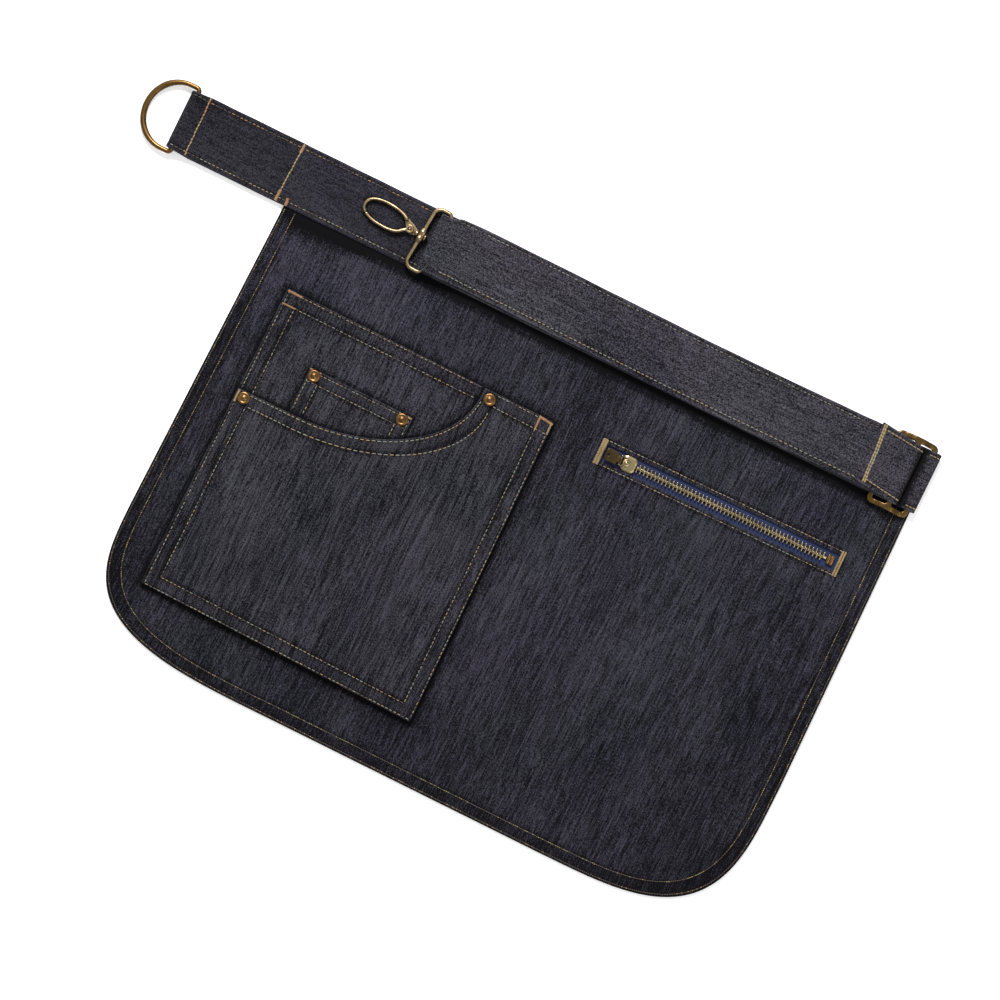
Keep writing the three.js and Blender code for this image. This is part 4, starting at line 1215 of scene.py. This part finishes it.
band_seams = Parts()
for v, kinds in ((7.6, (DIM, DIM, ORANGE)), (62.3, (DIM, GOLD, PALE))):
    stitch_row(band_seams, line_of((-1.5, v), (300, v)), band_surface, 3.2, kinds, 0.66, 0.3)
for start, end, kind in (((15.3, 3.4), (15.8, 24), ORANGE), ((15.8, 24), (16.4, 66), GOLD),
                         ((119.2, 3.4), (118, 34), GOLD), ((118, 34), (116.9, 66), GOLD)):
    stitch_row(band_seams, line_of(start, end), band_surface, 2.7, kind, 0.92, 0.5, 0.2)
bar_tack(band_seams, photo(119.1, 5), photo(118.8, 12), 2.0, band_surface, ORANGE)
bar_tack(band_seams, photo(117.2, 55), photo(116.8, 66), 2.2, band_surface, ORANGE)
seams("waistband_seams", band_seams)

strap_seams = Parts()
upper_row = line_of((295, 5.2), (400, 5.4), (560, 7.2), (700, 6.2), (757, 6.0), step=20)
lower_row = line_of((295, 59.2), (400, 60.2), (560, 61.6), (700, 60.6), (757, 60.4), step=20)
stitch_row(strap_seams, upper_row, strap_surface, 3.3, (PALE, DIM, PALE), 0.6, 0.3)
stitch_row(strap_seams, lower_row, strap_surface, 3.5, (PALE, PALE, GOLD), 0.6, 0.36)
stitch_row(strap_seams, line_of((765, 4.9), (807, 8.7)), strap_surface, 3.1, GOLD, 0.8, 0.42)
stitch_row(strap_seams, line_of((766, 57.6), (806, 63)), strap_surface, 3.1, GOLD, 0.8, 0.42)
for v in (7.6, 63):
    stitch_row(strap_seams, line_of((814, v), (825.5, v)), strap_surface, 2.8, GOLD, 0.75, 0.38)
for shift in (0, 2.1):
    for start, end, kind in (((760.4 + shift, 0.6), (762.8 + shift, 25), GOLD),
                             ((762.8 + shift, 25), (764 + shift, 50), (PALE, GOLD)),
                             ((764 + shift, 50), (765 + shift, 61.5), GOLD)):
        stitch_row(strap_seams, line_of(start, end), strap_surface, 2.6, kind, 0.95, 0.62, 0.2)
seams("strap_seams", strap_seams)


# Metal fittings

def fitting(name, parts, body, material, node, dark=-0.42, light=0.22):
    """A metal piece that stands for a node, with painted shade down its sides and a painted highlight on its
    front.
    """
    piece = parts.piece(name, body, [material])
    # Painted shade and highlight: points that face up are lighter, points that face sideways darker.
    set_tone(piece, [dark + (light - dark) * abs(v.normal[2]) ** 1.5 for v in piece.data.vertices])
    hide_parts(node)


def arc(cx, cy, r, start, end, steps):
    angles = [math.radians(start + (end - start) * i / steps) for i in range(steps + 1)]
    return [(cx + r * math.cos(a), cy + r * math.sin(a), 0) for a in angles]


ring_half = (RING_HEIGHT - RING_WIRE) / 2
ring_path = []
for i in range(61):
    angle = math.pi / 2 + math.pi * i / 60
    x = -RING_SHOULDER + (RING_REACH - RING_SHOULDER) * math.cos(angle)
    ring_path.append((x, ring_half * math.sin(angle), 0))
ring_path += arc(-RING_CORNER, -ring_half + RING_CORNER, RING_CORNER, -90, 0, 6)
ring_path += arc(-RING_CORNER, ring_half - RING_CORNER, RING_CORNER, 0, 90, 6)
ring_sink = math.asin((RING_BAR_Z - RING_WIRE / 2) / RING_REACH)
ring_matrix = Matrix.Translation((RING_BAR_X, BAND_MIDDLE, RING_BAR_Z)) @ Matrix.Rotation(-ring_sink, 4, "Y")


def ring_radius(share):
    slim = smooth((abs(share - 0.41) - 0.2) / 0.2)
    return RING_WIRE / 2 * (1 - 0.2 * slim)


ring = Parts()
ring.put(tube(ring_path, ring_radius, 24, True), ring_matrix)
fitting("d_ring_metal", ring, "ring", brass, "d_ring")

hook_matrix = (
    Matrix.Translation((LOOP_BAR_X, BAND_MIDDLE + NECK_SHIFT, LOOP_BAR_Z))
    @ Matrix.Rotation(math.radians(HOOK_TURN), 4, "Z") @ Matrix.Rotation(math.radians(HOOK_SINK), 4, "Y"))
LOOP_HALF = (LOOP_HEIGHT - LOOP_WIRE) / 2
FRONT_BAR_X = -(LOOP_LENGTH - LOOP_WIRE)
end_y = LOOP_HALF - LOOP_END_CORNER
front_x, front_y = FRONT_BAR_X + LOOP_FRONT_CORNER, LOOP_HALF - LOOP_FRONT_CORNER
loop_path = arc(-LOOP_END_CORNER, end_y, LOOP_END_CORNER, 0, 90, 6)
loop_path += arc(front_x, front_y, LOOP_FRONT_CORNER, 90, 180, 10)
loop_path += arc(front_x, -front_y, LOOP_FRONT_CORNER, 180, 270, 10)
loop_path += arc(-LOOP_END_CORNER, -end_y, LOOP_END_CORNER, 270, 360, 6)
loop = Parts()
loop.put(tube(loop_path, LOOP_WIRE / 2, 20, True), hook_matrix)
along_y = Matrix.Rotation(math.radians(-90), 4, "X")
along_x = Matrix.Rotation(math.radians(90), 4, "Y")
boss_half = [(2.45, 1.3), (2.62, 1.5), (2.55, 4.0), (2.1, 4.3), (2.1, 5.15), (1.75, 5.4), (0, 5.4)]
boss_profile = [(r, -z) for r, z in boss_half[::-1]] + boss_half
loop.put(turned(boss_profile, (FRONT_BAR_X, 0, 0), along_y, 28), hook_matrix)
fitting("hook_loop_metal", loop, "loop", hook_brass, "hook_loop")

BOSS_HALF = BOSS_DIAMETER / 2 + GAP
HEAD_X = FRONT_BAR_X + BOSS_HALF
COLLAR_X = FRONT_BAR_X - BOSS_HALF
EYE_X = COLLAR_X - EYE_SET_BACK
ARM_CENTRE = COLLAR_X - ARM_SET_BACK
ARM_HALF = ARM_LENGTH / 2 - 6
ROOT_ANGLE = 0.62
NOSE_ANGLE = 2 * math.pi * (1 - 0.52 / 2) - math.pi * 0.29


def arm_point(angle):
    """A point of the hook's oval, which is a little fuller than an ellipse."""
    power = 2 / ARM_FULLNESS
    c, s = (math.copysign(abs(share) ** power, share) for share in (math.cos(angle), math.sin(angle)))
    return (ARM_CENTRE + ARM_HALF * c, (HOOK_HALF_HEIGHT - HOOK_WIRE / 2) * s, 0)


def slab(edge, holes, middle, thickness, radius, spacing, rings, edge_step):
    """A sheet of one thickness with softened edges. middle gives its height from x."""
    def top(x, y, d, s):
        return middle(x) + thickness / 2 * rounded(d, radius)

    def bottom(x, y, d, s):
        return middle(x) - thickness / 2 * rounded(d, radius)

    return sheet_mesh(edge, holes, top, bottom, spacing, rings, edge_step)[:2]


def plate(parts, edge, low, high, matrix, holes=(), spacing=0.8, radius=0.35):
    """A small metal plate."""
    middle = (low + high) / 2
    rings = (0.06, 0.18, radius, 0.6)
    parts.put(slab(edge, list(holes), lambda x: middle, high - low, radius, spacing, rings, 0.4), matrix)


def circle(x, y, r, count=24):
    angles = [2 * math.pi * i / count for i in range(count)]
    return [(x + r * math.cos(a), y + r * math.sin(a)) for a in angles]


hook = Parts()
shank_profile = [
    (0, COLLAR_X - 2.4), (1.2, COLLAR_X - 2.4), (1.9, COLLAR_X - 1.6), (2.2, COLLAR_X - 0.5), (2.1, COLLAR_X),
    (1.1, COLLAR_X + 0.1), (1.1, HEAD_X), (2.6, HEAD_X), (2.7, HEAD_X + 0.35), (2.6, HEAD_X + 0.85),
    (2.0, HEAD_X + 1.25), (0, HEAD_X + 1.3)]
hook.put(turned(shank_profile, (0, 0, 0), along_x, 24), hook_matrix)
arm_path = [arm_point(ROOT_ANGLE + (NOSE_ANGLE - ROOT_ANGLE) * i / 60) for i in range(61)]


def arm_radius(share):
    return HOOK_WIRE / 2 * (1 + 0.35 * max(0, 1 - share * 7))


hook.put(tube(arm_path, arm_radius, 18, round_ends=True), hook_matrix)
root_x, root_y, _ = arm_path[0]
cheek = [
    (COLLAR_X, -1.7), (COLLAR_X, 1.7), (EYE_X + 2, 4.0),
    (root_x + 1.3, root_y + 1.1), (root_x - 1.1, root_y + 0.9),
    (root_x - 0.6, root_y - 1.4), (EYE_X - 3.4, 0.2), (EYE_X - 1.6, -2.9), (EYE_X + 1.8, -2.9)]
plate(hook, cheek, -2.45, -1.6, hook_matrix)
post_profile = [(0, -2.4), (1.15, -2.4), (1.15, 0.4), (0.9, 0.9), (0, 1.0)]
hook.put(turned(post_profile, (root_x + 0.1, root_y, 0)), hook_matrix)
pin_profile = [(0, -2.4), (0.8, -2.4), (0.8, 1.1), (0.6, 1.25), (0, 1.3)]
hook.put(turned(pin_profile, (EYE_X, 0, 0)), hook_matrix)
fitting("hook_body_metal", hook, "hook", hook_brass, "hook_body")

gate = Parts()
first = NOSE_ANGLE + 0.17
gate_path = [arm_point(first + (2 * math.pi - 0.75 - first) * i / 40) for i in range(41)]
gate_path.append((EYE_X - 2.2, -1.6, 0))


def gate_radius(share):
    return HOOK_WIRE / 2 * (1 + 0.3 * max(0, share - 0.6))


gate.put(tube(gate_path, gate_radius, 18, round_ends=True), hook_matrix)
plate(gate, circle(EYE_X, 0, 3.1, 40), -1.0, 1.0, hook_matrix, [circle(EYE_X, 0, 1.15)], 0.7, 0.5)
fitting("hook_gate_metal", gate, "gate", hook_brass, "hook_gate")

# Painted shadow on the waistband where the hook and its loop lie close to it
hook_shade = EdgeShade([p[:2] for p in moved(arm_path + gate_path, hook_matrix)])
loop_shade = EdgeShade([p[:2] for p in moved(loop_path[6:-6], hook_matrix)])
band_tones_with_painted_shadow = []
for (x, y, _), tone_here in zip(whole_band.points, band_shades):
    if 140 < x < 215:
        tone_here -= 0.32 * hook_shade.at(x + 0.4, y + 0.7, 1.5) + 0.32 * loop_shade.at(x - 1.0, y + 0.6, 1.8)
    band_tones_with_painted_shadow.append(tone_here)
band.data.attributes["tone"].data.foreach_set("value", band_tones_with_painted_shadow)


def round_rectangle(x0, x1, y0, y1, r):
    corners = arc(x1 - r, y0 + r, r, -90, 0, 8) + arc(x1 - r, y1 - r, r, 0, 90, 8)
    corners += arc(x0 + r, y1 - r, r, 90, 180, 8) + arc(x0 + r, y0 + r, r, 180, 270, 8)
    return [(x, y) for x, y, _ in corners]


def slider_middle(x):
    """Height of the slider's plate, which arches over its middle bar."""
    flat = SLIDER_LENGTH / 2 - SLIDER_BAR
    t = min(max((abs(x - SLIDER_X) - SLIDER_BAR / 2) / (flat - SLIDER_BAR / 2), 0), 1)
    return strap_level(1) + 2 * LEVEL_STEP * (0.5 + 0.5 * math.cos(math.pi * t))


SLIDER_LEFT = SLIDER_X - SLIDER_LENGTH / 2
SLIDER_RIGHT = SLIDER_X + SLIDER_LENGTH / 2
SLIDER_BOTTOM = BAND_MIDDLE + SLIDER_SHIFT - SLIDER_HEIGHT / 2
SLIDER_TOP = SLIDER_BOTTOM + SLIDER_HEIGHT
slider_edge = round_rectangle(SLIDER_LEFT, SLIDER_RIGHT, SLIDER_BOTTOM, SLIDER_TOP, 4.5)
slider_holes = [
    round_rectangle(x0, x1, SLIDER_BOTTOM + SLIDER_BAR, SLIDER_TOP - SLIDER_BAR, 1.2)
    for x0, x1 in ((SLIDER_LEFT + SLIDER_BAR, SLIDER_X - SLIDER_BAR / 2),
                   (SLIDER_X + SLIDER_BAR / 2, SLIDER_RIGHT - SLIDER_BAR))]
slider = Parts()
slider_rings = (0.08, 0.25, 0.5, 0.8, 1.3)
slider.add(*slab(slider_edge, slider_holes, slider_middle, SLIDER_METAL, 0.8, 0.9, slider_rings, 0.6))
fitting("strap_slider_metal", slider, "apron", slider_brass, "strap_slider")

rivet_profile = [
    (4.6, 0), (4.7, 0.2), (4.62, 0.6), (4.3, 0.95), (3.7, 1.2), (3.1, 1.22), (2.75, 1.02), (2.5, 0.9),
    (2.2, 0.9), (1.9, 1.02), (1.6, 1.3), (1.0, 1.52), (0.4, 1.6), (0, 1.6)]
rivets = [
    ("scoop_left", POCKET_LEFT + 6.4, -POCKET_TOP - SCOOP_DROP - 4.9, FRONT_BASE + CLOTH),
    ("scoop_right", POCKET_LEFT + SCOOP_FLAT + SCOOP_ACROSS + 6.4, -POCKET_TOP - 8.2, FRONT_BASE + CLOTH),
    ("coin_left", coin_x + 4.7, coin_y - 4.6, COIN_BASE + CLOTH),
    ("coin_right", coin_x + COIN_WIDTH - 6.6, coin_y - 4.9, COIN_BASE + CLOTH)]
for label, x, y, base in rivets:
    cap = Parts()
    cap.add(*turned(rivet_profile, (x, y, base + GAP + skirt_lift(x, y)), None, 48))
    fitting(f"rivet_{label}_cap", cap, "apron", copper, f"rivet_{label}", dark=-0.5, light=0.1)


# Zip

ZIP_RISE = skirt_lift(ZIP_LEFT + ZIP_LENGTH / 2, -ZIP_MIDDLE)
TAPE_TOP = ZIP_RISE + CLOTH - GAP
zip_turn = Matrix.Rotation(math.radians(ZIP_TURN), 4, "Z")
zip_matrix = Matrix.Translation((ZIP_LEFT, -ZIP_MIDDLE, TAPE_TOP + 0.1)) @ zip_turn
tape_half = ZIP_WINDOW / 2 + TAPE_MARGIN
tape_edge = zip_rectangle(-TAPE_MARGIN, ZIP_LENGTH + TAPE_MARGIN, -tape_half, tape_half)
tape_shape = slab(
    tape_edge, [], lambda x: TAPE_TOP - TAPE_THICKNESS / 2, TAPE_THICKNESS, 0.4, 2.0, (0.15, 0.4, 1.0), 1.5)
tape = make_piece("zip_tape_cloth", *tape_shape, "apron", [blue_tape])
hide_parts("zip_tape")

teeth = Parts()
teeth.put(soft_box(CHAIN_START, CHAIN_START + CHAIN_LENGTH, -1.0, 1.0, 0.05, 1.3), zip_matrix)
for i in range(int(CHAIN_LENGTH / TOOTH_PITCH)):
    for side in (-1, 1):
        x = CHAIN_START + (i + 0.25 + (0.5 if side > 0 else 0)) * TOOTH_PITCH
        y0, y1 = sorted((side * (CHAIN_WIDTH / 2 - 0.6), -side * 0.6))
        teeth.put(soft_box(x - 0.5, x + 0.5, y0, y1, 0.05, 2.15, 0.28), zip_matrix)
fitting("zip_teeth_metal", teeth, "apron", zip_brass, "zip_teeth", dark=-0.6, light=0.15)

SLIDE_LENGTH = 12.4
SLIDE_X = CHAIN_START - GAP - SLIDE_LENGTH
SLIDE_HALF = 5.8
LUG_X = SLIDE_X + 0.6
LUG_Z = 3.6
slide = Parts()
slide_half_edge = [(SLIDE_X + 1.6, SLIDE_HALF * 0.7), (SLIDE_X + 4, SLIDE_HALF),
                   (SLIDE_X + 10.4, SLIDE_HALF), (SLIDE_X + SLIDE_LENGTH, SLIDE_HALF * 0.6)]
slide_edge = [(x, -y) for x, y in slide_half_edge] + slide_half_edge[::-1]
upper_edge = [(x * 0.94 + (SLIDE_X + 7) * 0.06, y * 0.92) for x, y in slide_edge]
plate(slide, slide_edge, 0.0, 1.1, zip_matrix, radius=0.4)
plate(slide, upper_edge, 1.5, 2.8, zip_matrix, radius=0.6)
slide.put(soft_box(SLIDE_X + 2.4, SLIDE_X + 11.4, -2.0, 2.0, 0.8, 2.0), zip_matrix)
dome_profile = [
    (2.9, 2.6), (2.9, 3.2), (2.5, 3.6), (2.1, 3.65), (1.8, 3.4),
    (1.5, 3.5), (1.1, 4.1), (0.5, 4.4), (0, 4.45)]
slide.put(turned(dome_profile, (SLIDE_X + 4.8, 0, 0)), zip_matrix)
for ear_y in (-3.8, 2.9):
    slide.put(soft_box(LUG_X - 1.1, LUG_X + 3, ear_y, ear_y + 0.9, 1.0, LUG_Z + 1.0, 0.3), zip_matrix)
fitting("zip_slider_metal", slide, "apron", zip_brass, "zip_slider", dark=-0.45, light=0.3)

pull = Parts()
leaf = [
    (LUG_X - 2.4, -4.5), (LUG_X - 2.4, 4.5), (LUG_X - 10.8, 4.5),
    (LUG_X - 12, 3.3), (LUG_X - 12, -3.3), (LUG_X - 10.8, -4.5)]
plate(pull, leaf, LUG_Z - 0.6, LUG_Z + 0.6, zip_matrix, [circle(LUG_X - 9.8, 0, 0.95)], 0.8, 0.4)
pull.put(soft_box(LUG_X - 2.8, LUG_X + 0.2, -2.5, 2.5, LUG_Z - 0.55, LUG_Z + 0.55), zip_matrix)
barrel_profile = [(0, -2.6), (0.75, -2.6), (0.9, -2.4), (0.9, 2.4), (0.75, 2.6), (0, 2.6)]
pull.put(turned(barrel_profile, (LUG_X, 0, LUG_Z), along_y), zip_matrix)
fitting("zip_pull_metal", pull, "pull", dark_brass, "zip_pull", dark=-0.5, light=0.12)

stop = Parts()
stop_x = CHAIN_START + CHAIN_LENGTH + GAP
for x0, x1, high in ((0, 2.3, 2.2), (2.6, 4.9, 1.9)):
    stop.put(soft_box(stop_x + x0, stop_x + x1, -3.5, 3.5, 0.0, high, 0.4), zip_matrix)
stop.put(soft_box(stop_x + 1, stop_x + 4, -2.6, 2.6, 0.0, 1.4, 0.3), zip_matrix)
fitting("zip_stop_metal", stop, "apron", copper, "zip_stop")

BAG_MARGIN = 8
BAG_LEFT = ZIP_LEFT - BAG_MARGIN
BAG_RIGHT = ZIP_LEFT + ZIP_LENGTH + BAG_MARGIN
BAG_TOP = -ZIP_TOP + TAPE_MARGIN
bag_edge = [
    (BAG_LEFT, BAG_TOP), (BAG_LEFT, BAG_TOP - BAG_DEPTH),
    (BAG_RIGHT, BAG_TOP - BAG_DEPTH), (BAG_RIGHT, BAG_TOP)]
bag_points, bag_faces, _ = sheet_mesh(
    bag_edge, [], lambda x, y, d, s: 0.5 + 0.5 * rounded(d, 0.6) - 0.12 * bump(d - 6, 0.8),
    lambda x, y, d, s: 0.5 - 0.5 * rounded(d, 0.6), 5.0, (0.2, 0.6, 2.0, 5.0, 6.0, 7.0), 2.5)
bag = make_piece("zip_bag_cloth", bag_points, bag_faces, "apron", [lining])
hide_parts("zip_bag")
